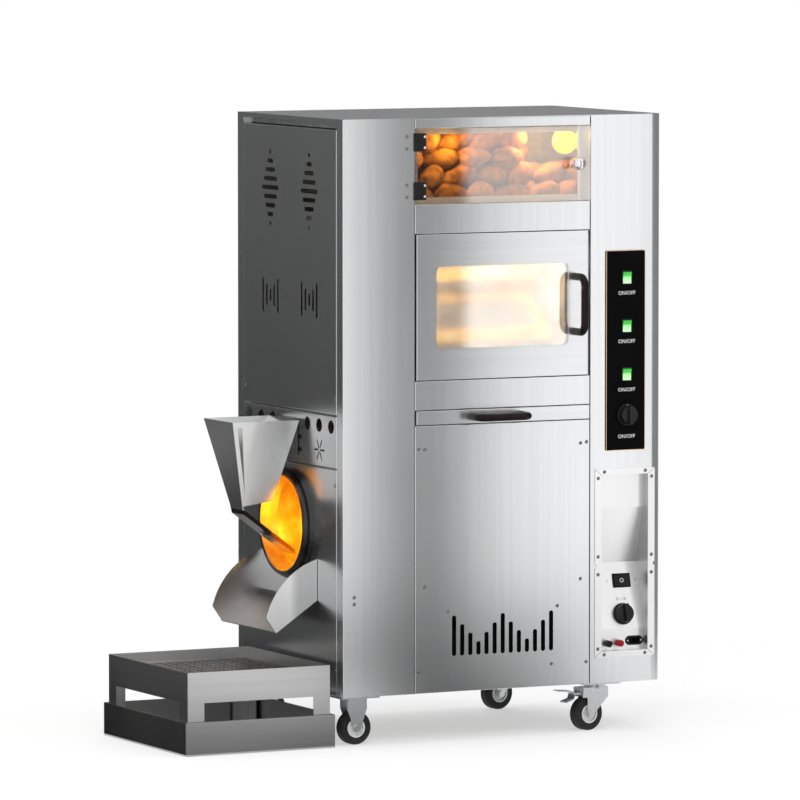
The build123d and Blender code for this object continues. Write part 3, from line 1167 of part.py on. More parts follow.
def switch_housing(width, height, bezel_width, bezel_height):
    """Switch body with its bezel, drawn upright on its panel at z = 0, open for the rocker."""
    body = Pos(0, 0, -SWITCH_DEPTH / 2) * Box(switch_body(width), switch_body(height), SWITCH_DEPTH)
    bezel = eased(Pos(0, 0, BEZEL / 2) * Box(bezel_width, bezel_height, BEZEL), BEZEL_EASE)
    room = (width + 2 * ROCKER_CLEARANCE, height + 2 * ROCKER_CLEARANCE, SWITCH_DEPTH)
    return body + bezel - Pos(0, 0, BEZEL - SWITCH_DEPTH / 2) * Box(*room)


def rocker(width, height, tilt):
    """Rocker with a shallow V face, rounded below, tilted about its pivot; drawn like its switch."""
    half, face = height / 2, BEZEL + ROCKER_STAND
    foot = half - ROCKER_TAPER
    outline = Polyline((-half, face), (0, face - ROCKER_DIP), (half, face), (half, -ROCKER_SIDE),
                       (foot, -ROCKER_ROOT), (-foot, -ROCKER_ROOT), (-half, -ROCKER_SIDE), close=True)
    across = Plane(origin=(-width / 2, 0, 0), x_dir=(0, 1, 0), z_dir=(1, 0, 0))
    body = extrude(across * make_face(outline), width)
    return Pos(0, 0, -ROCKER_PIVOT_DEPTH) * Rot(tilt, 0, 0) * Pos(0, 0, ROCKER_PIVOT_DEPTH) * body


def knob():
    """Round knob with a grip ridge and a stem into the panel; drawn with the panel's face at z = 0."""
    body_radius = KNOB_RADIUS - KNOB_STEP
    top_radius = body_radius - KNOB_TAPER
    seat = Pos(0, 0, KNOB_GAP + KNOB_SKIRT)
    skirt = Pos(0, 0, KNOB_GAP) * eased(Cylinder(KNOB_RADIUS, KNOB_SKIRT, align=UPRIGHT), KNOB_EASE)
    body = seat * eased(Cone(body_radius, top_radius, KNOB_BODY, align=UPRIGHT), KNOB_EASE)
    grip = Box(KNOB_RIDGE_WIDTH, body_radius + top_radius, KNOB_BODY + KNOB_RIDGE, align=UPRIGHT)
    stem = Pos(0, 0, KNOB_GAP - KNOB_STEM) * Cylinder(KNOB_STEM_RADIUS, KNOB_STEM + KNOB_SKIRT, align=UPRIGHT)
    return skirt + [body, seat * eased(grip, KNOB_EASE), stem]


def control_panel():
    """Dark control plate on the right column with openings for three switches and a knob."""
    outline = RectangleRounded(PANEL_WIDTH, PANEL_HEIGHT, PANEL_CORNER)
    return extrude(front(PANEL_X, PANEL_BOTTOM + PANEL_HEIGHT / 2) * outline, PANEL_PLATE) - control_cuts()


def panel_place(level):
    """Place on the face of the control panel."""
    return front(CONTROL_X, level, -PANEL_PLATE)


def power_place():
    """Place of the power switch on the recess's sloped face."""
    return slope(POWER_X, POWER_SWITCH_HEIGHT) * Rot(0, 0, 90)


def switch_housings():
    """Bodies and bezels of the three lit switches and of the power switch."""
    lit = switch_housing(ROCKER_WIDTH, ROCKER_HEIGHT, BEZEL_WIDTH, BEZEL_HEIGHT)
    power = switch_housing(POWER_ROCKER_WIDTH, POWER_ROCKER_HEIGHT, POWER_BEZEL_HEIGHT, POWER_BEZEL_WIDTH)
    return group(*[panel_place(level) * lit for level in SWITCH_LEVELS], power_place() * power)


def lit_rocker(level):
    return panel_place(level) * rocker(ROCKER_WIDTH, ROCKER_HEIGHT, ROCKER_TILT)


def power_rocker():
    return power_place() * rocker(POWER_ROCKER_WIDTH, POWER_ROCKER_HEIGHT, 0)


def ignition_knob():
    return panel_place(IGNITION_Z) * knob()


def speed_knob():
    return slope(SPEED_X, SPEED_KNOB_HEIGHT) * knob()


def recess_profile(grow):
    """Section of the recess's pocket seen from the side, as depth and height, grown by the sheet."""
    low, high = POCKET_BOTTOM - grow, POCKET_TOP + grow
    shallow, deep = RECESS_DEPTH + grow, RECESS_V_DEPTH + grow
    step = grow * math.tan(math.radians(SLOPE_ANGLE) / 2)
    v_bottom, v_top = BOTTOM + RECESS_V_BOTTOM - step, BOTTOM + RECESS_V_TOP + step
    points = [(-SHEET, low), (shallow, low), (shallow, v_bottom), (deep, BOTTOM + RECESS_V_MIDDLE),
              (shallow, v_top), (shallow, high), (-SHEET, high)]
    return make_face(Polyline(*[(0, y, z) for y, z in points], close=True))


def control_recess():
    """Sheet recess with a flange on the column's face and a pocket that deepens to a V at mid height."""
    wide = POCKET_RIGHT - POCKET_LEFT
    outer = Pos(POCKET_LEFT - SHEET, 0, 0) * extrude(recess_profile(SHEET), wide + 2 * SHEET, dir=(1, 0, 0))
    inner = Pos(POCKET_LEFT, 0, 0) * extrude(recess_profile(0), wide, dir=(1, 0, 0))
    flange = block((RECESS_LEFT, RECESS_RIGHT), (-SHEET, 0),
                   (BOTTOM + RECESS_BOTTOM, BOTTOM + RECESS_BOTTOM + RECESS_HEIGHT))
    notch = Rot(0, 0, 45) * Rectangle(RECESS_NOTCH, RECESS_NOTCH)
    notches = [punch(front(x, BOTTOM + RECESS_V_MIDDLE), notch) for x in (RECESS_LEFT, RECESS_RIGHT)]
    switch_sides = [switch_body(side) + HOLE_CLEARANCE for side in (POWER_ROCKER_WIDTH, POWER_ROCKER_HEIGHT)]
    inlet_sides = [inlet_body(side) + HOLE_CLEARANCE for side in (INLET_SOCKET_WIDTH, INLET_SOCKET_HEIGHT)]
    cuts = [punch(power_place(), Rectangle(*switch_sides)), punch(inlet_place(), Rectangle(*inlet_sides)),
            punch(slope(SPEED_X, SPEED_KNOB_HEIGHT), Circle(2 * KNOB_STEM_RADIUS))]
    cuts += [punch(post_place(x), Circle(POST_STUD_RADIUS + HOLE_CLEARANCE)) for x in POST_XS]
    return outer + flange - [inner, *notches, *cuts, *screw_holes(recess_screws())]


def inlet_place():
    """Place of the mains inlet on the recess's lower back wall."""
    return front(INLET_X, INLET_Z, RECESS_DEPTH)


def inlet_body(opening):
    """Outside size of the mains inlet's body for a socket of that size."""
    return opening + 2 * INLET_WALL


def post_place(x):
    """Place of a binding post on the recess's lower back wall."""
    return front(x, BOTTOM + POST_HEIGHT, RECESS_DEPTH)


def power_inlets():
    """Mains inlet with its oblong flange and two blades, and two battery binding posts."""
    flange = eased(extrude(SlotOverall(INLET_WIDTH, INLET_FLANGE_HEIGHT), INLET_FLANGE), INLET_EASE)
    depth = INLET_SOCKET_DEPTH + INLET_WALL
    body = Pos(0, 0, -depth / 2) * Box(inlet_body(INLET_SOCKET_WIDTH), inlet_body(INLET_SOCKET_HEIGHT), depth)
    socket_middle = (INLET_FLANGE - INLET_SOCKET_DEPTH) / 2
    socket = Box(INLET_SOCKET_WIDTH, INLET_SOCKET_HEIGHT, INLET_FLANGE + INLET_SOCKET_DEPTH)
    blade = Box(INLET_BLADE, INLET_BLADE_HEIGHT, INLET_SOCKET_DEPTH)
    blades = [Pos(side * INLET_SOCKET_WIDTH / 4, 0, -INLET_SOCKET_DEPTH / 2) * blade for side in (-1, 1)]
    inlet = flange + body - Pos(0, 0, socket_middle) * socket + blades
    post = eased(Cylinder(POST_RADIUS, POST_LENGTH, align=UPRIGHT), POST_EASE)
    post += Pos(0, 0, -POST_LENGTH) * Cylinder(POST_STUD_RADIUS, POST_LENGTH, align=UPRIGHT)
    return group(inlet_place() * inlet, *[post_place(x) * post for x in POST_XS])


def power_supply():
    """Mains to low-voltage supply on the inside of the back panel."""
    x, z = MID_RIGHT + SUPPLY_X, BOTTOM + SUPPLY_HEIGHT
    wide, deep, high = SUPPLY_SIZE
    back = CABINET_DEPTH - SHEET
    return block((x, x + wide), (back - deep, back), (z - high / 2, z + high / 2))


# Hopper and chute


def feed_hopper():
    """Sheet hopper with a slide into the drum's mouth, hung on the vent panel by its hook flange."""
    top, bottom = HOPPER_TOP, HOPPER_BOTTOM
    top_x, throat_x = -HOPPER_STANDOFF - HOPPER_LENGTH / 2, -THROAT_RIGHT - THROAT_LENGTH / 2

    def funnel(wall):
        mouth = Rectangle(HOPPER_LENGTH - 2 * wall, HOPPER_WIDTH - 2 * wall)
        throat = Rectangle(THROAT_LENGTH - 2 * wall, THROAT_WIDTH - 2 * wall)
        ends = [Pos(throat_x, MID_DEPTH, bottom) * throat, Pos(top_x, MID_DEPTH, top) * mouth]
        return loft(ends, ruled=True)

    throat_y = (MID_DEPTH - THROAT_WIDTH / 2, MID_DEPTH + THROAT_WIDTH / 2)
    far_x = -THROAT_RIGHT - THROAT_LENGTH
    rise = Polyline((far_x + SHEET, 0, bottom), (0, 0, bottom), (0, 0, bottom + THROAT_RISE), close=True)
    under = Pos(0, CABINET_DEPTH, 0) * extrude(make_face(rise), CABINET_DEPTH, dir=(0, -1, 0))
    slit_top, slit_x = top - SLIT_DROP, -HOPPER_STANDOFF - HOPPER_LENGTH + SLIT_INSET
    slit = make_face(Polyline((slit_x, 0, slit_top), (slit_x + SLIT_TOP_WIDTH, 0, slit_top),
                              (far_x + 2 * SHEET, 0, slit_top - SLIT_LENGTH), close=True))
    slit = Pos(0, throat_y[0] + SHEET, 0) * extrude(slit, HOPPER_WIDTH, dir=(0, -1, 0))
    shell = funnel(0) - [funnel(SHEET), under, slit]
    return shell + [*hopper_slide(far_x, bottom, throat_y), *hopper_hook(top)]


def hopper_slide(far_x, bottom, throat_y):
    """Slide under the throat: back plate, sloped floor and a low lip along each side."""
    start, bend = (far_x, bottom), (-SLIDE_TOP_X, SLIDE_TOP)
    end = (-SLIDE_END_X, SLIDE_END)
    slant = math.atan2(bend[1] - end[1], end[0] - bend[0])
    normal = (SHEET * math.sin(slant), SHEET * math.cos(slant))
    floor = [start, bend, end, (end[0] + normal[0], end[1] + normal[1]),
             (bend[0] + SHEET, bend[1] + SHEET), (start[0] + SHEET, start[1])]
    lift = SLIDE_LIP / math.cos(slant)
    lip = [bend, end, (end[0], end[1] + lift), (bend[0], bend[1] + lift)]

    def sheet_between(points, y0, y1):
        outline = make_face(Polyline(*[(x, 0, z) for x, z in points], close=True))
        return Pos(0, y1, 0) * extrude(outline, y1 - y0, dir=(0, -1, 0))

    return [sheet_between(floor, *throat_y), sheet_between(lip, throat_y[0], throat_y[0] + SHEET),
            sheet_between(lip, throat_y[1] - SHEET, throat_y[1])]


def hopper_hook(top):
    """Flange from the hopper's right-hand rim to the vent panel, and down along it."""
    y = (MID_DEPTH - HOOK_WIDTH / 2, MID_DEPTH + HOOK_WIDTH / 2)
    return [block((-HOPPER_STANDOFF - SHEET, 0), y, (top - SHEET, top)),
            block((-SHEET, 0), y, (top - HOOK_DROP, top))]


def discharge_chute():
    """Sheet chute under the drum's mouth: sloped floor, two cheeks with bowed tops and a back plate."""
    floor_z, top = CHUTE_FLOOR, CHUTE_TOP
    tip = (-CHUTE_REACH, 0, floor_z - CHUTE_DROP)
    nose = (-CHUTE_REACH - CHUTE_EDGE_OUT, 0, tip[2] + CHUTE_EDGE_UP)
    bulge = (-CHUTE_BULGE_OUT, 0, DRUM_Z - CHUTE_BULGE_BELOW)
    edge = ThreePointArc((0, 0, top), bulge, nose)
    cheek = make_face([Line((0, 0, floor_z), (0, 0, top)), edge, Line(nose, tip), Line(tip, (0, 0, floor_z))])
    low, high = MID_DEPTH - CHUTE_WIDTH / 2, MID_DEPTH + CHUTE_WIDTH / 2
    cheeks = [Pos(0, y, 0) * extrude(cheek, SHEET, dir=(0, -1, 0)) for y in (low + SHEET, high)]
    slant = math.hypot(CHUTE_REACH, CHUTE_DROP)
    rise = SHEET * slant / CHUTE_REACH
    bed = Polyline((0, 0, floor_z), tip, (tip[0], 0, tip[2] + rise), (0, 0, floor_z + rise), close=True)
    bed = Pos(0, high, 0) * extrude(make_face(bed), CHUTE_WIDTH, dir=(0, -1, 0))
    plate = block((-SHEET, 0), (low, high), (floor_z, top))
    plate -= punch(left(MID_DEPTH, DRUM_Z), Circle(COLLAR_RADIUS + CHUTE_MOUTH_CLEARANCE))
    return plate + [bed, *cheeks]


# Sieve box


def catch_tray():
    """Open tray on the floor."""
    return pan((TRAY_LEFT, TRAY_RIGHT), (TRAY_FRONT, TRAY_BACK), (0, TRAY_HEIGHT), "+z")


def sieve_limits(inset):
    """Outside limits of the sieve frame, drawn in by an amount."""
    gap = SHEET + SIEVE_CLEARANCE + inset
    return (TRAY_LEFT + gap, TRAY_RIGHT - gap), (TRAY_FRONT + gap, TRAY_BACK - gap)


def sieve_frame():
    """Sheet frame that lifts out of the tray: a deep band on four corner legs, with a ledge for the mesh."""
    low = SHEET + SIEVE_FLOOR_GAP
    x, y = sieve_limits(0)
    inner_x, inner_y = sieve_limits(SHEET)
    ledge_x, ledge_y = sieve_limits(SHEET + MESH_LEDGE)
    walls = block(x, y, (low, SIEVE_TOP)) - block(inner_x, inner_y, (low, SIEVE_TOP))
    band = SIEVE_TOP - SIEVE_BAND
    gaps = [block((x[0] + SIEVE_LEG, x[1] - SIEVE_LEG), y, (low, band)),
            block(x, (y[0] + SIEVE_LEG, y[1] - SIEVE_LEG), (low, band))]
    ledge_z = (SIEVE_TOP - MESH_DROP - SHEET, SIEVE_TOP - MESH_DROP)
    ledge = block(x, y, ledge_z) - block(ledge_x, ledge_y, ledge_z)
    return walls - gaps + ledge


def sieve_mesh():
    """Flat net of square gaps that lies on the sieve frame's ledge."""
    x, y = sieve_limits(SHEET + LOOSE_FIT)
    wide, deep = x[1] - x[0], y[1] - y[0]
    columns = int((wide - 2 * MESH_LEDGE) / MESH_PITCH)
    rows = int((deep - 2 * MESH_LEDGE) / MESH_PITCH)
    gap = MESH_PITCH - MESH_BAR
    net = Rectangle(wide, deep) - GridLocations(MESH_PITCH, MESH_PITCH, columns, rows) * Rectangle(gap, gap)
    return extrude(Pos(sum(x) / 2, sum(y) / 2, SIEVE_TOP - MESH_DROP) * net, MESH_PLATE)


# Casters


def caster_wheel():
    """Wheel about the local y axis: rubber tyre on a dished hub."""
    half = WHEEL_WIDTH / 2
    dish = half - HUB_RECESS

    def ring(*outline):
        return revolve(make_face(Polyline(*[(radius, y, 0) for radius, y in outline], close=True)), Axis.Y)

    shoulder, crown = half - TYRE_SHOULDER, WHEEL_RADIUS - TYRE_SHOULDER
    tyre = ring((TYRE_INNER_RADIUS, -half), (crown, -half), (WHEEL_RADIUS, -shoulder),
                (WHEEL_RADIUS, shoulder), (crown, half), (TYRE_INNER_RADIUS, half))
    bore, rim = AXLE_RADIUS + RUNNING_FIT, TYRE_INNER_RADIUS - HUB_RIM
    hub = ring((bore, -half), (HUB_BOSS_RADIUS, -half), (HUB_BOSS_RADIUS, -dish), (rim, -dish), (rim, -half),
               (TYRE_INNER_RADIUS, -half), (TYRE_INNER_RADIUS, half), (rim, half), (rim, dish),
               (HUB_BOSS_RADIUS, dish), (HUB_BOSS_RADIUS, half), (bore, half))
    return [tyre, hub]


def fork_side(points, eye_x, y):
    """One upright fork plate from a side outline, with a round eye at the axle."""
    outline = make_face(Polyline(*[(x, 0, z) for x, z in points], close=True))
    plate = extrude(outline, FORK_PLATE, dir=(0, -1, 0))
    eye = rod(FORK_EYE_RADIUS, (eye_x, 0, WHEEL_RADIUS), (eye_x, -FORK_PLATE, WHEEL_RADIUS))
    return Pos(0, y, 0) * (plate + eye)


def axle(x):
    """Axle bolt with a head at each end, along the local y axis."""
    head = FORK_OUTER + AXLE_HEAD
    bolt = rod(AXLE_RADIUS, (x, -head, WHEEL_RADIUS), (x, head, WHEEL_RADIUS))
    return bolt + [rod(AXLE_HEAD_RADIUS, (x, side * FORK_OUTER, WHEEL_RADIUS), (x, side * head, WHEEL_RADIUS))
                   for side in (-1, 1)]


def caster_plate():
    """Top plate of a caster about its own middle."""
    half_x, half_y = CASTER_PLATE_LENGTH / 2, CASTER_PLATE_WIDTH / 2
    return block((-half_x, half_x), (-half_y, half_y), (CASTER_HEIGHT - CASTER_PLATE, CASTER_HEIGHT))


def rigid_caster():
    """Plate, straight fork and axle of a rigid caster."""
    under = CASTER_HEIGHT - CASTER_PLATE
    wide, eye = RIGID_FORK_HALF, FORK_EYE_RADIUS
    outline = [(-wide, under), (wide, under), (wide, under - wide), (eye, WHEEL_RADIUS), (-eye, WHEEL_RADIUS),
               (-wide, under - wide)]
    return caster_plate() + [fork_side(outline, 0, FORK_OUTER), fork_side(outline, 0, -FORK_INNER), axle(0)]


def swivel_plate():
    """Plate and ball race of a swivel caster, bored for the kingpin."""
    under = CASTER_HEIGHT - CASTER_PLATE
    race = rod(RACE_RADIUS, (0, 0, under), (0, 0, under - RACE_HEIGHT))
    bore = rod(KINGPIN_RADIUS + RUNNING_FIT, (0, 0, under - RACE_HEIGHT), (0, 0, under))
    return caster_plate() + race - bore


def swivel_fork(braked):
    """Swivel fork with its kingpin and axle, the wheel trailing towards -x; a braked one has a pedal pin."""
    top, back = FORK_TOP, -SWIVEL_TRAIL
    crown = rod(RACE_RADIUS, (0, 0, top), (0, 0, top - 2 * FORK_PLATE))
    kingpin = rod(KINGPIN_RADIUS, (0, 0, top), (0, 0, top + SWIVEL_GAP + RACE_HEIGHT - LOOSE_FIT))
    across = (-FORK_OUTER, FORK_OUTER)
    bridge = block((-RACE_RADIUS, RACE_RADIUS), across, (top - 2 * FORK_PLATE, top - FORK_PLATE))
    ear = PEDAL_PIVOT_BACK + 2 * PEDAL_BOSS_RADIUS if braked else RACE_RADIUS
    shoulder = PEDAL_PIVOT_HEIGHT - 2 * PEDAL_BOSS_RADIUS
    outline = [(-ear, top - FORK_PLATE), (RACE_RADIUS, top - FORK_PLATE), (RACE_RADIUS, shoulder),
               (back + FORK_EYE_RADIUS, WHEEL_RADIUS), (back - FORK_EYE_RADIUS, WHEEL_RADIUS),
               (back - FORK_EYE_RADIUS, shoulder), (-ear, shoulder)]
    sides = [fork_side(outline, back, y) for y in (FORK_OUTER, -FORK_INNER)]
    pieces = [kingpin, bridge, *sides, axle(back)]
    if braked:
        pin = (-PEDAL_PIVOT_BACK, FORK_INNER + FORK_PLATE / 2, PEDAL_PIVOT_HEIGHT)
        pieces.append(rod(PEDAL_PIN_RADIUS, (pin[0], -pin[1], pin[2]), pin))
    return crown + pieces


def brake_pedal():
    """Foot pedal of the braked caster: a boss on the fork's pin, an upper step and a lower release step."""
    back, level, half = -PEDAL_PIVOT_BACK, PEDAL_PIVOT_HEIGHT, PEDAL_WIDTH / 2
    upper, lower = [[(-out, level + rise) for out, rise in outline] for outline in (PEDAL_UPPER, PEDAL_LOWER)]
    boss = rod(PEDAL_BOSS_RADIUS, (back, -half, level), (back, half, level))
    steps = []
    for points in ([(back, level + PEDAL), *upper], lower):
        strip = [*points, *[(x, z - PEDAL) for x, z in reversed(points)]]
        outline = make_face(Polyline(*[(x, 0, z) for x, z in strip], close=True))
        steps.append(Pos(0, half, 0) * extrude(outline, PEDAL_WIDTH, dir=(0, -1, 0)))
    bore = rod(PEDAL_PIN_RADIUS + RUNNING_FIT, (back, -half, level), (back, half, level))
    return boss + steps - bore


def swivel_place(end):
    """Where a right-hand swivel caster stands, turned as it was left."""
    return Pos(RIGHT_CASTER_X, CASTER_ROWS[end], 0) * Rot(0, 0, SWIVEL_TURN)


def rigid_place(end):
    """Where a left-hand rigid caster stands."""
    return Pos(LEFT_CASTER_X, CASTER_ROWS[end], 0)


def caster_brackets():
    """The rigid casters' forks and the swivel casters' plates, all fixed under the frame."""
    rigid = [rigid_place(end) * rigid_caster() for end in CASTER_ROWS]
    return group(*rigid, *[Pos(RIGHT_CASTER_X, y, 0) * swivel_plate() for y in CASTER_ROWS.values()])


PARTS = {
    "frame": frame(),
    "front_left_column": front_left_column(),
    "front_right_column": front_right_column(),
    "front_rails": front_rails(),
    "lower_front_panel": lower_front_panel(),
    "left_upper_panel": left_upper_panel(),
    "left_vent_panel": left_vent_panel(),
    "left_lower_panel": left_lower_panel(),
    "right_side_panel": right_side_panel(),
    "back_panel": back_panel(),
    "top_cover": top_cover(),
    "panel_screws": panel_screws(),
    "warmer_liner": warmer_liner(),
    "oven_liner": oven_liner(),
    "lamps": lamps(),
    "door_hinges": door_hinges(),
    "gear_motors": gear_motors(),
    "gas_burner": gas_burner(),
    "gas_line": gas_line(),
    "mouth_collar": mouth_collar(),
    "control_panel": control_panel(),
    "control_recess": control_recess(),
    "switch_housings": switch_housings(),
    "power_inlets": power_inlets(),
    "power_supply": power_supply(),
    "feed_hopper": feed_hopper(),
    "discharge_chute": discharge_chute(),
    "caster_brackets": caster_brackets(),
    "warmer_door_pane": warmer_door_pane(),
    "warmer_door_hinges": warmer_door_hinges(),
    "warmer_door_knob": warmer_door_knob(),
    "oven_door_skin": oven_door_skin(),
    "oven_door_liner": oven_door_liner(),
    "oven_door_glass": oven_door_glass(),
    "oven_door_handle": oven_door_handle(),
    "drawer_pan": drawer_pan(),
    "drawer_handle": drawer_handle(),
    "warmer_lamp_rocker": lit_rocker(WARMER_LAMP_SWITCH_Z),
    "oven_lamp_rocker": lit_rocker(OVEN_LAMP_SWITCH_Z),
    "rotation_rocker": lit_rocker(ROTATION_Z),
    "power_rocker": power_rocker(),
    "ignition_knob": ignition_knob(),
    "speed_knob": speed_knob(),
    "drum_shell": drum_shell(),
    "drum_rim": drum_rim(),
    "rack_frame": rack_frame(),
    "catch_tray": catch_tray(),
    "sieve_frame": sieve_frame(),
    "sieve_mesh": sieve_mesh(),
    "brake_pedal": swivel_place("front") * brake_pedal(),
}
for number, pivot in enumerate(basket_pivots(), start=1):
    PARTS[f"basket_{number}"] = basket(*pivot)
for end in CASTER_ROWS:
    swivel_wheel = swivel_place(end) * Pos(-SWIVEL_TRAIL, 0, WHEEL_RADIUS)
    rigid_wheel = rigid_place(end) * Pos(0, 0, WHEEL_RADIUS)
    PARTS[f"{end}_swivel_fork"] = swivel_place(end) * swivel_fork(end == "front")
    PARTS[f"{end}_swivel_wheel"] = group(*[swivel_wheel * piece for piece in caster_wheel()])
    PARTS[f"{end}_rigid_wheel"] = group(*[rigid_wheel * piece for piece in caster_wheel()])

os.makedirs("parts", exist_ok=True)
for name, shape in PARTS.items():
    export_step(Pos(-ORIGIN_X, -ORIGIN_Y, 0) * shape, f"parts/{name}.step")
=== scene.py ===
import json

import bpy
import numpy as np
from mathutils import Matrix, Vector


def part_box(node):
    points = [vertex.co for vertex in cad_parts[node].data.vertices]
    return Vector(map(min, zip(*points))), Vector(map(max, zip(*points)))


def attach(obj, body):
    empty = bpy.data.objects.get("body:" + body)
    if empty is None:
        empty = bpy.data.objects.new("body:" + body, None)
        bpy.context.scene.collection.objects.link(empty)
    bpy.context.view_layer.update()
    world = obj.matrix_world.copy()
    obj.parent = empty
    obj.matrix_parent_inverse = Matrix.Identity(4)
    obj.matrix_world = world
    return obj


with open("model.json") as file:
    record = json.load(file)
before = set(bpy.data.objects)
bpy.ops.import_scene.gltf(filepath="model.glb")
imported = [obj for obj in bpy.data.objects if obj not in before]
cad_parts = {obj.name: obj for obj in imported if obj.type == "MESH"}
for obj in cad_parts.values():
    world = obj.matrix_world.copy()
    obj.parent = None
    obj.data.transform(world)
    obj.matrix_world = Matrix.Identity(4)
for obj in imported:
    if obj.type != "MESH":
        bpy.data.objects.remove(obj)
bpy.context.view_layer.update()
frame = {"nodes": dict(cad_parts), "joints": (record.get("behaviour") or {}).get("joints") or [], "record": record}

MM = 0.001
joints = {joint["name"]: joint for joint in frame["joints"]}


# camera, solved from the cabinet's edges
CAMERA_PLACE = (-7.18555, -14.404, 2.0086)
CAMERA_TURN = np.radians((85.5105, 0.0, -26.689))
LENS = 323.9
SENSOR = 36.0
CLIP_END = 200.0

camera = bpy.data.objects.new("camera", bpy.data.cameras.new("camera"))
camera.data.lens = LENS
camera.data.sensor_width = SENSOR
camera.data.clip_end = CLIP_END
camera.location = CAMERA_PLACE
camera.rotation_euler = CAMERA_TURN
bpy.context.scene.collection.objects.link(camera)
bpy.context.scene.camera = camera
bpy.context.scene.view_settings.view_transform = "Standard"


# places on the machine, read from the frame
def corners(node):
    """Lowest and highest corner of a CAD node as two arrays."""
    return tuple(np.array(corner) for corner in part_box(node))


def middle(node):
    """Centre of a CAD node's box."""
    return sum(corners(node)) / 2


FRONT = corners("front_rails")[0][1]
LEFT = corners("left_upper_panel")[0][0]
RIGHT = corners("right_side_panel")[1][0]
BACK = corners("back_panel")[1][1]


# colours and nodes
def linear(colour):
    """Linear RGBA of an sRGB hex value: c / 12.92 up to 0.04045, else ((c + 0.055) / 1.055) ** 2.4."""
    parts = np.array([int(colour[i:i + 2], 16) for i in (1, 3, 5)]) / 255
    parts = np.where(parts <= 0.04045, parts / 12.92, ((parts + 0.055) / 1.055) ** 2.4)
    return (*map(float, parts), 1.0)


def grey(level):
    """RGBA of one linear level."""
    return level, level, level, 1.0


def feed(tree, node, links):
    """Gives a node's inputs their values; a value that is a socket is linked."""
    for name, value in links.items():
        if isinstance(value, bpy.types.NodeSocket):
            tree.links.new(value, node.inputs[name])
        else:
            node.inputs[name].default_value = value


def add(tree, kind, links=None, **settings):
    """Adds a node with its settings, and feeds its inputs."""
    made = tree.nodes.new("ShaderNode" + kind)
    for name, value in settings.items():
        setattr(made, name, value)
    feed(tree, made, links or {})
    return made


def compute(tree, operation, *values):
    """Output of a Math node on its values."""
    return add(tree, "Math", dict(enumerate(values)), operation=operation).outputs[0]


def ramp(tree, factor, stops, interpolation="LINEAR", tone=linear):
    """Colour ramp on a factor, from (place, colour) stops; tone turns a colour into RGBA."""
    made = add(tree, "ValToRGB", {"Fac": factor})
    made.color_ramp.interpolation = interpolation
    points = made.color_ramp.elements
    while len(points) < len(stops):
        points.new(0.5)
    for point, (place, colour) in zip(points, stops):
        point.position = place
        point.color = tone(colour)
    return made.outputs["Color"]


def spread(tree, factor, low, high):
    """A factor of 0 to 1 stretched to the range from low to high."""
    return add(tree, "MapRange", {"Value": factor, "To Min": low, "To Max": high}).outputs[0]


def share_between(tree, value, first, last, **settings):
    """How far a value has come from first, 0, to last, 1."""
    return add(tree, "MapRange", {"Value": value, "From Min": first, "From Max": last}, **settings).outputs[0]


def object_place(tree, scale=(1, 1, 1), location=(0, 0, 0)):
    """Object coordinates through a Mapping node, which gives a pattern its size and centre."""
    place = add(tree, "TexCoord").outputs["Object"]
    return add(tree, "Mapping", {"Vector": place, "Scale": scale, "Location": location}).outputs[0]


def grain(tree, size, detail=2.0):
    """Noise whose cells measure size millimetres, one number or (x, y, z)."""
    scale = tuple(1 / (step * MM) for step in np.broadcast_to(size, 3))
    return add(tree, "TexNoise", {"Vector": object_place(tree, scale), "Scale": 1.0, "Detail": detail}).outputs[0]


def dent(tree, shader, height, depth, strength=1.0):
    """Bump of a real depth in millimetres on a shader."""
    made = add(tree, "Bump", {"Height": height, "Distance": depth * MM, "Strength": strength})
    feed(tree, shader, {"Normal": made.outputs[0]})


# materials
def surface(name, **sockets):
    """New material whose Principled sockets take the given values; an underscore stands for a space."""
    made = bpy.data.materials.new(name)
    made.use_nodes = True
    tree = made.node_tree
    shader = tree.nodes["Principled BSDF"]
    feed(tree, shader, {socket.replace("_", " "): value for socket, value in sockets.items()})
    return made, tree, shader


def mottled(name, size, detail, stops, smooth, rough, **sockets):
    """New material whose colour and roughness follow one noise."""
    made, tree, shader = surface(name, **sockets)
    pattern = grain(tree, size, detail)
    feed(tree, shader, {"Base Color": ramp(tree, pattern, stops), "Roughness": spread(tree, pattern, smooth, rough)})
    return made, tree, shader


def brushed_steel(name, light, dark, smooth, rough, lines):
    """Stainless sheet with a satin belt finish: faint lines along one axis and slow smears, which move its sheen."""
    made, tree, shader = surface(name, Metallic=1.0)
    brush = grain(tree, lines, 0.0)
    smear = grain(tree, 220, 0.0)
    feed(tree, shader, {"Base Color": ramp(tree, brush, ((0.3, dark), (0.7, light))),
                        "Roughness": spread(tree, smear, smooth, rough)})
    dent(tree, shader, brush, 0.004, 0.3)
    return made


# belt lines are 0.3 mm wide on the sheet and drawn 9 mm wide, to show at all
UPRIGHT_LINES = (9, 9, 700)
LEVEL_LINES = (700, 700, 9)

cabinet_steel = brushed_steel("satin_stainless_cabinet", "#DEDFE0", "#DBDCDD", 0.24, 0.265, UPRIGHT_LINES)
side_steel = brushed_steel("satin_stainless_sides", "#DBDCDD", "#D8D9DA", 0.24, 0.265, UPRIGHT_LINES)
door_steel = brushed_steel("satin_stainless_doors", "#DEDFE0", "#DBDCDD", 0.24, 0.265, LEVEL_LINES)
sieve_steel = brushed_steel("satin_stainless_tray", "#D8D8D8", "#D3D3D3", 0.28, 0.35, LEVEL_LINES)
tray_steel = brushed_steel("satin_stainless_catch_tray", "#BEBEBE", "#B8B8B8", 0.28, 0.35, LEVEL_LINES)
# the liner's warm tint is painted warm light of the lit chambers
liner_steel = brushed_steel("dull_stainless_liner", "#D9D2C6", "#D0C9BC", 0.46, 0.56, LEVEL_LINES)
tube_steel = brushed_steel("drawn_steel_tube", "#B9BABB", "#A6A7A9", 0.34, 0.5, UPRIGHT_LINES)
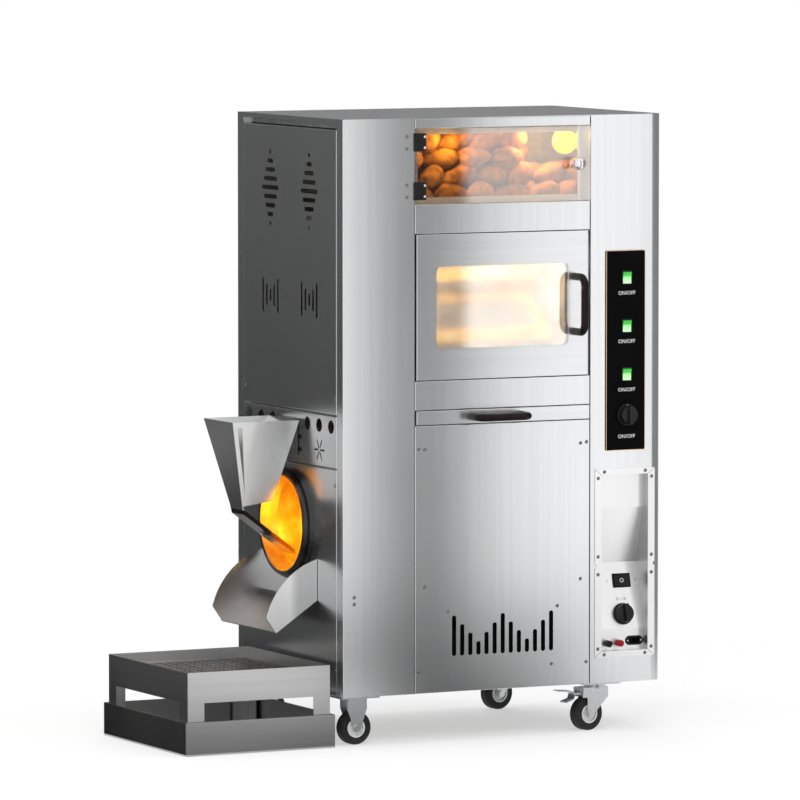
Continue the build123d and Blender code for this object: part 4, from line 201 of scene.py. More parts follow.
net_steel = brushed_steel("woven_steel_net", "#A9A7A4", "#8C8985", 0.3, 0.48, 6)
# the screws' darker grey is a painted reflection of dark surroundings
screw_steel = brushed_steel("steel_screws_painted_dark_reflection", "#8E8E8C", "#7E7E7C", 0.2, 0.34, 4)
screw_nickel = brushed_steel("nickel_plated_screws", "#E4E4E2", "#D4D4D2", 0.16, 0.3, 4)

# where painted shade, painted glow and tints lie on a sheet: limits of a face's normal, and lines on the machine in
# metres
SQUARE_ON = 0.8
TILTED = 0.3
SLIDE_TOP = 0.512
HEAT_AND_GLOW_LINE = LEFT - 0.062
FLANGE_LINE = LEFT - 0.012
# specular level where the hopper's slide is painted shade
SHADE_SHINE = 0.05


def tinted_sheet(name, tints, smooth=0.18, rough=0.24, clean="#DCDCDC", shade_mask=None):
    """Satin sheet; each tint colours it where its mask of place and facing is 1, and the shade mask takes its metal
    shine where it is 1.
    """
    made = brushed_steel(name, clean, clean, smooth, rough, UPRIGHT_LINES)
    tree, shader = made.node_tree, made.node_tree.nodes["Principled BSDF"]
    outputs = add(tree, "TexCoord").outputs
    place = add(tree, "SeparateXYZ", {0: outputs["Object"]}).outputs
    facing = add(tree, "SeparateXYZ", {0: outputs["Normal"]}).outputs
    colour = shader.inputs["Base Color"].links[0].from_socket
    for tint, where in tints:
        mask = where(tree, place, facing)
        colour = add(tree, "MixRGB", {"Fac": mask, "Color1": colour, "Color2": linear(tint)}).outputs[0]
    feed(tree, shader, {"Base Color": colour})
    if shade_mask:
        bare = compute(tree, "SUBTRACT", 1.0, shade_mask(tree, place, facing))
        feed(tree, shader, {"Metallic": bare, "Specular IOR Level": SHADE_SHINE})
    return made


def slide_painted_shade(tree, place, facing):
    """Painted shade: the slide's front lip and its outside away from the drum, and the front edge of the flange on the
    cabinet, are painted near black and lose their metal shine.
    """
    to_front = compute(tree, "LESS_THAN", facing["Y"], -SQUARE_ON)
    to_left = compute(tree, "LESS_THAN", facing["X"], -TILTED)
    low = compute(tree, "LESS_THAN", place["Z"], SLIDE_TOP)
    outside = compute(tree, "LESS_THAN", place["X"], HEAT_AND_GLOW_LINE)
    slide = compute(tree, "MULTIPLY", low, outside)
    lip = compute(tree, "MULTIPLY", slide, compute(tree, "MAXIMUM", to_front, to_left))
    at_wall = compute(tree, "GREATER_THAN", place["X"], FLANGE_LINE)
    edge = compute(tree, "MULTIPLY", at_wall, to_front)
    return compute(tree, "MAXIMUM", lip, edge)


def lip_heat_tint_and_painted_glow(tree, place, facing):
    """The slide's front lip where it is near the drum's mouth: heat tint, with the drum's orange glow painted on it.
    """
    to_front = compute(tree, "LESS_THAN", facing["Y"], -SQUARE_ON)
    lip = compute(tree, "MULTIPLY", compute(tree, "LESS_THAN", place["Z"], SLIDE_TOP), to_front)
    return compute(tree, "MULTIPLY", lip, compute(tree, "GREATER_THAN", place["X"], HEAT_AND_GLOW_LINE))


def recess_wall_painted_shade(tree, place, facing):
    """Painted shade: the recess's right-hand wall, which is turned to the left, is painted darker."""
    return compute(tree, "LESS_THAN", facing["X"], -SQUARE_ON)


def chute_floor(tree, place, facing):
    """The chute's floor, which is turned up; it is painted a darker grey."""
    return compute(tree, "GREATER_THAN", facing["Z"], TILTED)


def chute_underside_painted_shade(tree, place, facing):
    """Painted shade: the underside of the chute's floor, which is turned down, is painted near black."""
    return compute(tree, "LESS_THAN", facing["Z"], -TILTED)


def zinc_plate():
    """Zinc-plated pressed steel: faint spangles of 5 mm, bright and a little blue."""
    made, tree, shader = surface("zinc_plated_steel", Metallic=1.0)
    spangle = add(tree, "TexVoronoi", {"Vector": object_place(tree, (200, 200, 200)), "Scale": 1.0}).outputs["Color"]
    feed(tree, shader, {"Base Color": ramp(tree, spangle, ((0.2, "#D2D5D8"), (0.8, "#DCDFE1"))),
                        "Roughness": spread(tree, spangle, 0.3, 0.36)})
    return made


def heated_steel(name, clean, straw, bronze):
    """Steel that has been hot: patches of straw and bronze oxide over the bare metal, satin where they lie."""
    stops = ((0.3, clean), (0.5, straw), (0.75, bronze))
    made, tree, shader = mottled(name, 70, 4.0, stops, 0.42, 0.6, Metallic=1.0)
    dent(tree, shader, grain(tree, 5), 0.05, 0.3)
    return made


def cast_iron():
    """Sand-cast iron: a coarse skin of 2 mm grains, lighter on the high ones."""
    made, tree, shader = surface("cast_iron_burner", Metallic=0.7, Roughness=0.6)
    skin = grain(tree, 2, 4.0)
    feed(tree, shader, {"Base Color": ramp(tree, skin, ((0.35, "#2B2927"), (0.7, "#4A4744")))})
    dent(tree, shader, skin, 0.25, 0.6)
    return made


def turned_brass():
    """Turned brass: bright, and browner where it has tarnished."""
    return mottled("turned_brass", 18, 3.0, ((0.35, "#C9A45C"), (0.75, "#8E6B35")), 0.22, 0.42, Metallic=1.0)[0]


def chromed_ball():
    """Polished chrome: a mirror with the faintest haze."""
    made, tree, shader = surface("polished_chrome", Metallic=1.0, Base_Color=linear("#E9EAEB"))
    feed(tree, shader, {"Roughness": spread(tree, grain(tree, 9), 0.05, 0.14)})
    return made


def filmed_pane(name, colour, index, film, cell, detail, smooth, rough):
    """Clear sheet with a reflecting film: see-through, mirrors part of the room, and blurs where it is smeared."""
    made, tree, shader = surface(name, Base_Color=linear(colour), Transmission_Weight=1.0, IOR=index, Coat_Weight=1.0,
                                 Coat_IOR=film, Coat_Roughness=0.03)
    feed(tree, shader, {"Roughness": spread(tree, grain(tree, cell, detail), smooth, rough)})
    return made


# the pane is acrylic with faint wiping haze; the oven's glass is tempered, and greased inside, so that it blurs more
PANE_FILM = 2.26
GLASS_FILM = 4.0
door_pane = filmed_pane("filmed_acrylic_pane", "#FBF6F1", 1.49, PANE_FILM, 40, 3.0, 0.0, 0.06)
oven_pane = filmed_pane("tempered_oven_glass", "#FFFAF0", 1.52, GLASS_FILM, 120, 1.0, 0.15, 0.2)


def glowing_lamp():
    """Lit oven bulb: amber glass that glows a little unevenly."""
    made, tree, shader = surface("glowing_bulb_glass", Roughness=0.12, Emission_Color=linear("#FFE600"))
    hot = grain(tree, 14, 1.0)
    feed(tree, shader, {"Base Color": ramp(tree, hot, ((0.3, "#FFD21E"), (0.7, "#FFE45A"))),
                        "Emission Strength": spread(tree, hot, 0.8, 1.0)})
    return made


def lit_rocker():
    """Translucent green polycarbonate over a lamp: deep at the pressed upper end, pale at the lower one."""
    made, tree, shader = surface("lit_green_polycarbonate", Roughness=0.22)
    low, high = corners("rotation_rocker")
    first, last = middle("rotation_rocker")[2], middle("warmer_lamp_rocker")[2]
    pitch, tall = (last - first) / 2, high[2] - low[2]
    height = add(tree, "SeparateXYZ", {0: object_place(tree, location=(0, 0, -first))}).outputs["Z"]
    level = compute(tree, "WRAP", height, pitch / 2, -pitch / 2)
    share = share_between(tree, level, -tall / 2, tall / 2)
    glow = ramp(tree, share, ((0.1, "#B9EDB2"), (0.5, "#97E08F"), (0.66, "#3FB53C"), (0.95, "#2C9A35")))
    feed(tree, shader, {"Base Color": glow, "Emission Color": glow,
                        "Emission Strength": spread(tree, share, 0.45, 0.6)})
    return made


TYRE_INNER = 21.4 * MM
WHEELS = ("front_swivel_wheel", "rear_swivel_wheel", "front_rigid_wheel", "rear_rigid_wheel")


def caster_wheel(wheel):
    """Dusty rubber tyre on a pale nylon hub; they part where |(p - centre) x axle| is the tyre's bore."""
    made, tree, shader = surface("rubber_tyre_on_nylon_hub_" + wheel)
    roll = joints[wheel + "_roll"]
    place = object_place(tree, location=-np.array(roll["pos_m"]))
    across = add(tree, "VectorMath", {0: place, 1: roll["axis"]}, operation="CROSS_PRODUCT").outputs[0]
    radius = add(tree, "VectorMath", {0: across}, operation="LENGTH").outputs["Value"]
    on_tyre = compute(tree, "GREATER_THAN", radius, TYRE_INNER)
    dust = grain(tree, 8, 3.0)
    rubber = ramp(tree, dust, ((0.35, "#0C0C0C"), (0.8, "#1E1D1C")))
    nylon = ramp(tree, dust, ((0.3, "#C6C8C9"), (0.7, "#DADCDD")))
    mixed = add(tree, "MixRGB", {"Fac": on_tyre, "Color1": nylon, "Color2": rubber}).outputs[0]
    feed(tree, shader, {"Base Color": mixed, "Roughness": spread(tree, on_tyre, 0.4, 0.7)})
    dent(tree, shader, dust, 0.05)
    return made


def grained_black(name, colour, worn, rough, cell, depth, shine=0.25):
    """Coat or moulding: a fine pebbled skin, greyer where hands and dust have been."""
    stops = ((0.4, colour), (0.75, worn))
    made, tree, shader = mottled(name, 45, 3.0, stops, rough - 0.06, rough + 0.1, Specular_IOR_Level=shine)
    dent(tree, shader, grain(tree, cell), depth)
    return made


def printed_film():
    """Printed polycarbonate film: deep black and smooth, with a few wiped smears."""
    return mottled("printed_polycarbonate_film", (60, 25, 90), 3.0, ((0.3, "#030303"), (0.8, "#09090A")), 0.4, 0.55,
                   Specular_IOR_Level=0.05)[0]


def phenolic_handle():
    """Phenolic moulding, buffed: near black with a brown cast, glossy, with slow waves in its polish."""
    return mottled("glossy_phenolic", 30, 2.0, ((0.3, "#0E0907"), (0.75, "#1C120D")), 0.14, 0.24,
                   Specular_IOR_Level=0.16)[0]


def mark_print(name, colour, faded):
    """Screen print: one matt ink, a little thin in places."""
    made, tree, shader = surface(name, Roughness=0.5)
    feed(tree, shader, {"Base Color": ramp(tree, grain(tree, 6), ((0.3, faded), (0.6, colour)))})
    return made


POSTS_WIDTH = 60 * MM


def socket_plastic():
    """Moulded black plastic of the inlet and the posts; the second post's sleeve is red, parted along x."""
    made, tree, shader = surface("moulded_black_and_red_plastic", Roughness=0.35, Specular_IOR_Level=0.2)
    first = corners("power_inlets")[0][0]
    across = add(tree, "SeparateXYZ", {0: object_place(tree)}).outputs["X"]
    share = share_between(tree, across, first, first + POSTS_WIDTH)
    parted = ramp(tree, share, ((0.0, "#0E0E0E"), (0.46, "#96090F"), (0.76, "#0E0E0E")), "CONSTANT")
    feed(tree, shader, {"Base Color": parted})
    dent(tree, shader, grain(tree, 1), 0.03)
    return made


hinge_black = grained_black("black_powder_coat", "#121212", "#1E1E1E", 0.42, 1.4, 0.05)
ring_black = grained_black("black_heat_enamel", "#0C0C0C", "#211F1C", 0.24, 2.0, 0.03, 0.9)
switch_black = grained_black("moulded_black_abs", "#131314", "#202021", 0.38, 1.0, 0.03)
knob_black = grained_black("moulded_black_knob", "#171718", "#262628", 0.36, 1.0, 0.03)
motor_grey = grained_black("grey_stove_enamel", "#6D7276", "#7F8488", 0.4, 1.6, 0.05)
# near black, as painted shade behind the lower panel's slots
gauze_shade_black = grained_black("black_gauze_painted_shade", "#020202", "#050505", 0.6, 2.0, 0.2, 0.03)
# near black, for painted shade in gaps, slots and corners
shade_black = grained_black("black_painted_shade", "#060606", "#101010", 0.6, 1.5, 0.05)
cream_print = mark_print("cream_screen_print", "#F0D2A4", "#DDB982")
seam_grey = mark_print("seam_shadow_grey", "#7C7C7C", "#8E8E8E")
white_print = mark_print("white_screen_print", "#F0F0EE", "#DCDCD8")

FINISHES = {
    "frame_tube": tube_steel,
    "cabinet_sheet": cabinet_steel,
    "side_sheet": side_steel,
    "door_sheet": door_steel,
    "liner_sheet": liner_steel,
    "screw_steel": screw_steel,
    "lamp_glass": glowing_lamp(),
    "black_hinge": hinge_black,
    "motor_housing": motor_grey,
    "burner_iron": cast_iron(),
    "gas_brass": turned_brass(),
    "black_ring": ring_black,
    "panel_black": printed_film(),
    "switch_black": switch_black,
    "rocker_green": lit_rocker(),
    "knob_black": knob_black,
    "caster_steel": zinc_plate(),
    "door_pane": door_pane,
    "knob_chrome": chromed_ball(),
    "oven_glass": oven_pane,
    "handle_black": phenolic_handle(),
    "drum_steel": heated_steel("heat_tinted_drum_steel", "#CFC4AE", "#C79F5C", "#9C6A35"),
    "rack_steel": heated_steel("heat_tinted_rack_steel", "#DED0AE", "#CDA866", "#8F6424"),
    "tray_sheet": sieve_steel,
    "mesh_steel": net_steel,
}

# nodes whose finish differs from the rest of their slot
# the hopper's slide and flange edge are painted near black as shade; its lip near the drum is heat tint with the
# drum's orange glow painted on it
hopper_painted_light = (("#1C1917", slide_painted_shade), ("#835E0C", lip_heat_tint_and_painted_glow))
# the chute's floor is painted a darker grey where it faces up, and its underside is painted shade
chute_tones = (("#ACA8A5", chute_floor), ("#2A2725", chute_underside_painted_shade))
NODE_FINISHES = {
    **{wheel: caster_wheel(wheel) for wheel in WHEELS},
    "feed_hopper": tinted_sheet("stainless_hopper_painted_shade", hopper_painted_light, shade_mask=slide_painted_shade),
    "discharge_chute": tinted_sheet("stainless_chute_with_painted_shade", chute_tones),
    # the recess's steel is painted paler than the cabinet's, as painted light, and its left-facing wall darker, as
    # painted shade
    "control_recess": tinted_sheet("stainless_recess_painted_light_and_shade", (("#B6B6B6", recess_wall_painted_shade),), 0.36, 0.42, "#FAFAFA"),
    "catch_tray": tray_steel,
    "power_inlets": socket_plastic(),
}

for part in frame["record"]["subparts"]:
    node = part["node"]
    mesh = frame["nodes"][node].data
    mesh.materials.clear()
    mesh.materials.append(NODE_FINISHES[node] if node in NODE_FINISHES else FINISHES[part["material_slot"]])


# forms of the pieces made here
def new_piece(name, parts, finish, smooth=False):
    """One mesh object from (points, faces) parts, at the origin, with its place in its points."""
    points, faces, start = [], [], 0
    for part_points, part_faces in parts:
        points.append(part_points)
        faces += [[start + i for i in face] for face in part_faces]
        start += len(part_points)
    mesh = bpy.data.meshes.new(name)
    mesh.from_pydata(np.concatenate(points).tolist(), [], faces)
    mesh.polygons.foreach_set("use_smooth", np.full(len(faces), smooth))
    mesh.materials.append(finish)
    mesh.update()
    made = bpy.data.objects.new(name, mesh)
    bpy.context.scene.collection.objects.link(made)
    return made


def dress(name, parts, finish, body, smooth=False):
    """A piece of the machine with its slot, riding on a body."""
    made = new_piece(name, parts, finish, smooth)
    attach(made, body)


def on_plane(place, normal, flat, height):
    """Points of a plane's own (across, up) pairs, lifted off it by height along its normal; across is level."""
    normal = np.array(normal, float)
    across = np.cross((0, 0, 1), normal)
    across = across / np.linalg.norm(across)
    up = np.cross(normal, across)
    return place + flat[:, :1] * across + flat[:, 1:] * up + np.reshape(height, (-1, 1)) * normal


def quads(rows, columns, closed_rows=False):
    """Faces of a grid of rows by columns points, whose columns close on themselves."""
    row = np.arange(rows if closed_rows else rows - 1)[:, None]
    column = np.arange(columns)[None, :]
    after, beside = (row + 1) % rows, (column + 1) % columns
    grid = np.stack(np.broadcast_arrays(row * columns + column, row * columns + beside,
                                        after * columns + beside, after * columns + column), -1)
    return grid.reshape(-1, 4).tolist()


def capped(rows, columns):
    """Faces of a tube of rows by columns points, with both ends closed."""
    last = (rows - 1) * columns
    return quads(rows, columns) + [list(range(columns))[::-1], list(range(last, last + columns))]


def turned(profile, place, normal, count=28):
    """Turned piece: point(s, a) = (r(s) cos a, r(s) sin a) on the plane, h(s) above it; its end rows are closed."""
    radius, height = np.array(profile).T * MM
    angle = np.linspace(0, 2 * np.pi, count, endpoint=False)
    flat = np.stack([radius[:, None] * np.cos(angle), radius[:, None] * np.sin(angle)], -1).reshape(-1, 2)
    return on_plane(place, normal, flat, np.repeat(height, count)), capped(len(radius), count)


def printed_band(path, width, place, normal, height=0.25):
    """Flat band round a closed path: the path offset by half the width each way, from the plane up to height."""
    along = np.roll(path, -1, 0) - np.roll(path, 1, 0)
    along = along / np.linalg.norm(along, axis=1, keepdims=True)
    side = np.stack([along[:, 1], -along[:, 0]], -1) * width / 2
    rings = np.stack([path + side, path + side, path - side, path - side])
    lift = np.repeat(np.array([0, height, height, 0]) * MM, len(path))
    return on_plane(place, normal, rings.reshape(-1, 2), lift), quads(4, len(path), True)


def printed_plate(outline, place, normal, height):
    """Plate: a closed outline carried from the plane up to height, with both ends closed."""
    count = len(outline)
    flat = np.concatenate([outline, outline])
    return on_plane(place, normal, flat, np.repeat((0, height * MM), count)), capped(2, count)


def printed_bar(length, width, turn, place, normal, height):
    """Bar with round ends: half circles of the width at both ends of the length, turned."""
    angle = np.linspace(-np.pi / 2, np.pi / 2, 9)
    end = np.stack([np.cos(angle), np.sin(angle)], -1) * width / 2
    shift = np.array([(length - width) / 2, 0])
    outline = np.concatenate([end + shift, -end - shift])
    spin = np.array([[np.cos(turn), np.sin(turn)], [-np.sin(turn), np.cos(turn)]])
    return printed_plate(outline @ spin, place, normal, height)


def rounded_path(width, height, radius, steps=8):
    """Closed rounded rectangle: a quarter circle of the radius at each corner."""
    angle = np.linspace(0, np.pi / 2, steps)
    turns = np.arange(4)[:, None] * np.pi / 2 + angle
    reach = np.array([[1, 1], [-1, 1], [-1, -1], [1, -1]]) * np.array([width / 2 - radius, height / 2 - radius])
    arc = np.stack([np.cos(turns), np.sin(turns)], -1) * radius
    return (arc + reach[:, None, :]).reshape(-1, 2)


def circle(radius, count=32):
    """Closed circle: (cos a, sin a) times the radius."""
    angle = np.linspace(0, 2 * np.pi, count, endpoint=False)
    return np.stack([np.cos(angle), np.sin(angle)], -1) * radius


def label(words, size, place, normal, thick=0.25):
    """Printed words: their filled outlines, centred on a place and lifted off the plane up to thick."""
    curve = bpy.data.curves.new("words", "FONT")
    curve.body, curve.size, curve.resolution_u = words, size, 3
    curve.align_x, curve.align_y = "CENTER", "CENTER"
    curve.extrude = thick * MM / 2
    holder = bpy.data.objects.new("words", curve)
    mesh = bpy.data.meshes.new_from_object(holder)
    points = np.empty(3 * len(mesh.vertices))
    mesh.vertices.foreach_get("co", points)
    points, single = np.unique(points.reshape(-1, 3).round(7), axis=0, return_inverse=True)
    single = single.reshape(-1)
    faces = [list(dict.fromkeys(single[list(face.vertices)].tolist())) for face in mesh.polygons]
    bpy.data.objects.remove(holder)
    bpy.data.curves.remove(curve)
    bpy.data.meshes.remove(mesh)
    points = on_plane(place, normal, points[:, :2], points[:, 2] + thick * MM / 2)
    return points, [face for face in faces if len(face) > 2]


TO_FRONT = (0, -1, 0)
TO_LEFT = (-1, 0, 0)

# cream line round the edge of the control panel
BORDER_WIDTH = 1.2 * MM
PANEL_ROUND = 3 * MM
panel_low, panel_high = corners("control_panel")
panel_centre = (panel_low + panel_high) / 2 * (1, 0, 1) + panel_low * (0, 1, 0)
panel_size = panel_high - panel_low - BORDER_WIDTH
border = printed_band(rounded_path(panel_size[0], panel_size[2], PANEL_ROUND), BORDER_WIDTH, panel_centre, TO_FRONT)
dress("panel_border", [border], cream_print, "cabinet")

# plain words under the lit rockers and the ignition knob
WORDS_SIZE = 12 * MM
ROCKER_DROP = 35 * MM
KNOB_DROP = 49 * MM
words = []
for joint, drop in (("warmer_lamp_switch_rock", ROCKER_DROP), ("oven_lamp_switch_rock", ROCKER_DROP),
                    ("rotation_switch_rock", ROCKER_DROP), ("gas_knob_turn", KNOB_DROP)):
    spot = np.array(joints[joint]["pos_m"])
    words.append(label("ON/OFF", WORDS_SIZE, np.array([spot[0], panel_low[1], spot[2] - drop]), TO_FRONT))
dress("panel_words", words, white_print, "cabinet")

# white dot on each knob's skirt
DOT = ((0.01, 0.0), (0.9, 0.0), (0.9, 0.3), (0.01, 0.3))
DOT_RADIUS = 22.2 * MM
SKIRT_RISE = 4.5 * MM
for joint, body in (("gas_knob_turn", "gas_knob"), ("speed_turn", "speed_control")):
    normal = joints[joint]["axis"]
    spot = on_plane(np.array(joints[joint]["pos_m"]), normal, np.array([[0, DOT_RADIUS]]), SKIRT_RISE)[0]
    dress(body + "_dot", [turned(DOT, spot, normal)], white_print, body)

# ring in the middle of the power rocker
ROCKER_FACE = 5.2 * MM
RING_RADIUS = 4.2 * MM
RING_WIDTH = 1.3 * MM
RING_RISE = 0.6
slope_normal = joints["speed_turn"]["axis"]
ring_spot = np.array(joints["power_switch_rock"]["pos_m"]) + ROCKER_FACE * np.array(slope_normal)
ring = printed_band(circle(RING_RADIUS), RING_WIDTH, ring_spot, slope_normal, RING_RISE)
dress("power_rocker_ring", [ring], white_print, "power_switch")

# plain marks on the recess's slope: the two ends of the rocker, and the range of the speed knob
MARK_SIDE = 36 * MM
MARK_RISE = 34 * MM
MARK_SIZE = 9 * MM
RANGE_SIZE = 10 * MM
knob_spot = np.array(joints["speed_turn"]["pos_m"])
rocker_spot = ring_spot - np.dot(ring_spot - knob_spot, slope_normal) * np.array(slope_normal)
marks = []
for mark, size, start, flat in (("I", MARK_SIZE, rocker_spot, (-MARK_SIDE, 0)),
                                ("II", MARK_SIZE, rocker_spot, (MARK_SIDE, 0)),
                                ("0 - 10", RANGE_SIZE, knob_spot, (0, MARK_RISE))):
    place = on_plane(start, slope_normal, np.array([flat]), 0.0)[0]
    marks.append(label(mark, size, place, slope_normal))
dress("recess_marks", marks, seam_grey, "cabinet")

# mitred corners of the recess's flange
RIM = np.array([17.0, 13.8]) * MM
MITRE_WIDTH = 0.9 * MM
MITRE_RISE = 0.15
recess_low, recess_high = corners("control_recess")
seams = []
for side_x in (-1, 1):
    for side_z in (-1, 1):
        corner = np.where((side_x > 0, True, side_z > 0), recess_high, recess_low)
        spot = np.array([corner[0] - side_x * RIM[0] / 2, recess_low[1], corner[2] - side_z * RIM[1] / 2])
        turn = np.arctan2(side_z * RIM[1], side_x * RIM[0])
        seams.append(printed_bar(np.hypot(*RIM), MITRE_WIDTH, turn, spot, TO_FRONT, MITRE_RISE))
dress("recess_seams", seams, seam_grey, "cabinet")

# screws at both ends of the mains inlet
INLET_HALF = np.array([22.0, 10.5]) * MM
INLET_FACE = 18.5 * MM
INLET_SCREW_SIDE = 17 * MM
SMALL_HEAD = ((0.01, -0.4), (2.4, -0.4), (2.4, 0.0), (1.9, 0.9), (0.9, 1.3), (0.01, 1.4))
inlet_high = corners("power_inlets")[1]
inlet_screws = []
for side in (-1, 1):
    across = inlet_high[0] - INLET_HALF[0] + side * INLET_SCREW_SIDE
    spot = np.array([across, FRONT + INLET_FACE, inlet_high[2] - INLET_HALF[1]])
    inlet_screws.append(turned(SMALL_HEAD, spot, TO_FRONT))
dress("inlet_screws", inlet_screws, screw_nickel, "cabinet", True)

# painted shade: a black band round the oven door's edge, which stands in for the dark gap there
GAP_SHADE = 0.7 * MM
GAP_SHADE_DEPTH = (3.0, 17.0)
door_low, door_high = corners("oven_door_skin")
gap_shade_size = door_high - door_low + GAP_SHADE
gap_shade_spot = (door_low + door_high) / 2 * (1, 0, 1) + (door_low[1] + GAP_SHADE_DEPTH[1] * MM) * np.array([0, 1, 0])
gap_shade_path = rounded_path(gap_shade_size[0], gap_shade_size[2], GAP_SHADE, 3)
gap_shade = printed_band(gap_shade_path, GAP_SHADE, gap_shade_spot, TO_FRONT, GAP_SHADE_DEPTH[1] - GAP_SHADE_DEPTH[0])
dress("oven_door_gap_shade", [gap_shade], shade_black, "oven_door")

# painted shade: a near-black gauze plate on the inside of the lower panel, behind its slots, which stands in for the
# dark inside them
GAUZE_SIZE = np.array([270.0, 106.0]) * MM
GAUZE_ROUND = 8 * MM
GAUZE_RISE = 125 * MM
GAUZE_DEPTH = 2.4 * MM
GAUZE_THICK = 0.7
gauze_level = corners("lower_front_panel")[0][2] + GAUZE_RISE
gauze_spot = np.array([middle("lower_front_panel")[0], FRONT + GAUZE_DEPTH, gauze_level])
gauze = printed_plate(rounded_path(*GAUZE_SIZE, GAUZE_ROUND), gauze_spot, TO_FRONT, GAUZE_THICK)
dress("vent_gauze_painted_shade", [gauze], gauze_shade_black, "cabinet")

# painted shade: a dark line in the corner where the chute's near cheek stands on the side panel
CHEEK_TOP = 2 * MM
CHEEK_BOTTOM = 62 * MM
CHEEK_GAP = 0.6 * MM
SEAM_WIDTH = 1.2 * MM
SEAM_RISE = 0.3
chute_low, chute_high = corners("discharge_chute")
seam_low, seam_high = chute_low[2] + CHEEK_BOTTOM, chute_high[2] - CHEEK_TOP
cheek_spot = np.array([LEFT, chute_low[1] - CHEEK_GAP, (seam_low + seam_high) / 2])
cheek_seam_shade = printed_bar(seam_high - seam_low, SEAM_WIDTH, np.pi / 2, cheek_spot, TO_LEFT, SEAM_RISE)
dress("chute_seam_shade", [cheek_seam_shade], shade_black, "cabinet")

# painted shade: black plates in the hook slots, at both sides of the hopper's flange, which stand in for the dark
# inside the slots
SLOT_SHADE_SIZE = np.array([15.0, 9.0]) * MM
SLOT_SHADE_ROUND = 1.5 * MM
SLOT_SHADE_SIDE = 51.5 * MM
SLOT_SHADE_DROPS = (38 * MM, 67 * MM)
SLOT_SHADE_RISE = 0.5
slot_shade_path = rounded_path(*SLOT_SHADE_SIZE, SLOT_SHADE_ROUND)
hopper_top, hopper_middle = corners("feed_hopper")[1][2], middle("feed_hopper")[1]
slot_shades = []
for side in (-1, 1):
    for drop in SLOT_SHADE_DROPS:
        spot = np.array([LEFT, hopper_middle + side * SLOT_SHADE_SIDE, hopper_top - drop])
        slot_shades.append(printed_plate(slot_shade_path, spot, TO_LEFT, SLOT_SHADE_RISE))
dress("hook_slot_shade", slot_shades, shade_black, "cabinet")

# screws through the warming door's hinge leaves
SCREW_SIDE = 5.0 * MM
SCREW_RISE = 12.0 * MM
SCREW_HEAD = ((0.01, -0.4), (3.3, -0.4), (3.3, 0.0), (2.6, 1.1), (1.4, 1.6), (0.01, 1.7))
LEAF_HEIGHT = 40 * MM
leaf_low, leaf_high = corners("warmer_door_hinges")
leaf_screws = []
for level in (leaf_low[2] + LEAF_HEIGHT / 2, leaf_high[2] - LEAF_HEIGHT / 2):
    for rise in (-SCREW_RISE, SCREW_RISE):
        spot = np.array([leaf_high[0] - SCREW_SIDE, leaf_low[1], level + rise])
        leaf_screws.append(turned(SCREW_HEAD, spot, TO_FRONT))
dress("hinge_leaf_screws", leaf_screws, screw_nickel, "warmer_door", True)


# light: white surroundings, dimmer for the light they shed, so that the lamps shape the machine
SURROUNDING_LIGHT = 0.5

world = bpy.data.worlds.new("white_studio")
world.use_nodes = True
bpy.context.scene.world = world
tree = world.node_tree
tree.nodes.clear()
rays = add(tree, "LightPath").outputs
seen = compute(tree, "MAXIMUM", rays["Is Camera Ray"], rays["Is Glossy Ray"])
seen = compute(tree, "MAXIMUM", seen, rays["Is Transmission Ray"])
level = spread(tree, seen, SURROUNDING_LIGHT, 1.0)
sky = add(tree, "Background", {"Color": linear("#FFFFFF"), "Strength": level}).outputs[0]
add(tree, "OutputWorld", {"Surface": sky})


def blank_finish(name):
    """New material with no nodes yet."""
    made = bpy.data.materials.new(name)
    made.use_nodes = True
    made.node_tree.nodes.clear()
    return made, made.node_tree


def stage_sheet(name, low, high, finish):
    """Flat rectangle between two corners that share one coordinate; it is stage, not part of the machine."""
    low, high = np.array(low, float), np.array(high, float)
    flat = int(np.argmin(np.abs(high - low)))
    first, second = [axis for axis in range(3) if axis != flat]
    points = np.tile(low, (4, 1))
    points[[1, 2], first] = high[first]
    points[[2, 3], second] = high[second]
    made = new_piece(name, [(points, [[0, 1, 2, 3]])], finish)
    return made


# floor: pale, keeps the shadow, and fades into the white surroundings
FLOOR_REACH = 4.0
FLOOR_FADE = (1.1, 2.4)
FLOOR_GLOW = 0.5
FLOOR_SHIFT = 0.15
floor_middle = np.array([(LEFT + RIGHT) / 2 - FLOOR_SHIFT, (FRONT + BACK) / 2, 0])
floor_finish, tree = blank_finish("pale_floor")
matt = add(tree, "BsdfDiffuse", {"Color": linear("#BCBCBC")}).outputs[0]
glow = add(tree, "Emission", {"Color": linear("#FFFFFF"), "Strength": FLOOR_GLOW}).outputs[0]
near = add(tree, "AddShader", {0: matt, 1: glow}).outputs[0]
far = add(tree, "BsdfTransparent").outputs[0]
reach = add(tree, "VectorMath", {0: object_place(tree, location=-floor_middle)}, operation="LENGTH").outputs["Value"]
fade = share_between(tree, reach, *FLOOR_FADE, interpolation_type="SMOOTHSTEP")
mixed = add(tree, "MixShader", {0: fade, 1: near, 2: far}).outputs[0]
add(tree, "OutputMaterial", {"Surface": mixed})
stage_sheet("floor", (-FLOOR_REACH, -FLOOR_REACH, 0), (FLOOR_REACH, FLOOR_REACH, 0), floor_finish)

# soft lamps round the machine, all turned to its middle
LAMP_AIM = np.array([0.1, 0.0, 0.7])


def lamp(name, place, size, power):
    """Square soft lamp at a place; polished faces don't mirror it."""
    made = bpy.data.objects.new(name, bpy.data.lights.new(name, "AREA"))
    made.data.size = size
    made.data.energy = power
    reach = LAMP_AIM - place
    made.location = place
    made.rotation_euler = (np.arccos(-reach[2] / np.linalg.norm(reach)), 0, np.arctan2(reach[1], reach[0]) - np.pi / 2)
    made.visible_camera = False
    made.visible_glossy = False
    bpy.context.scene.collection.objects.link(made)


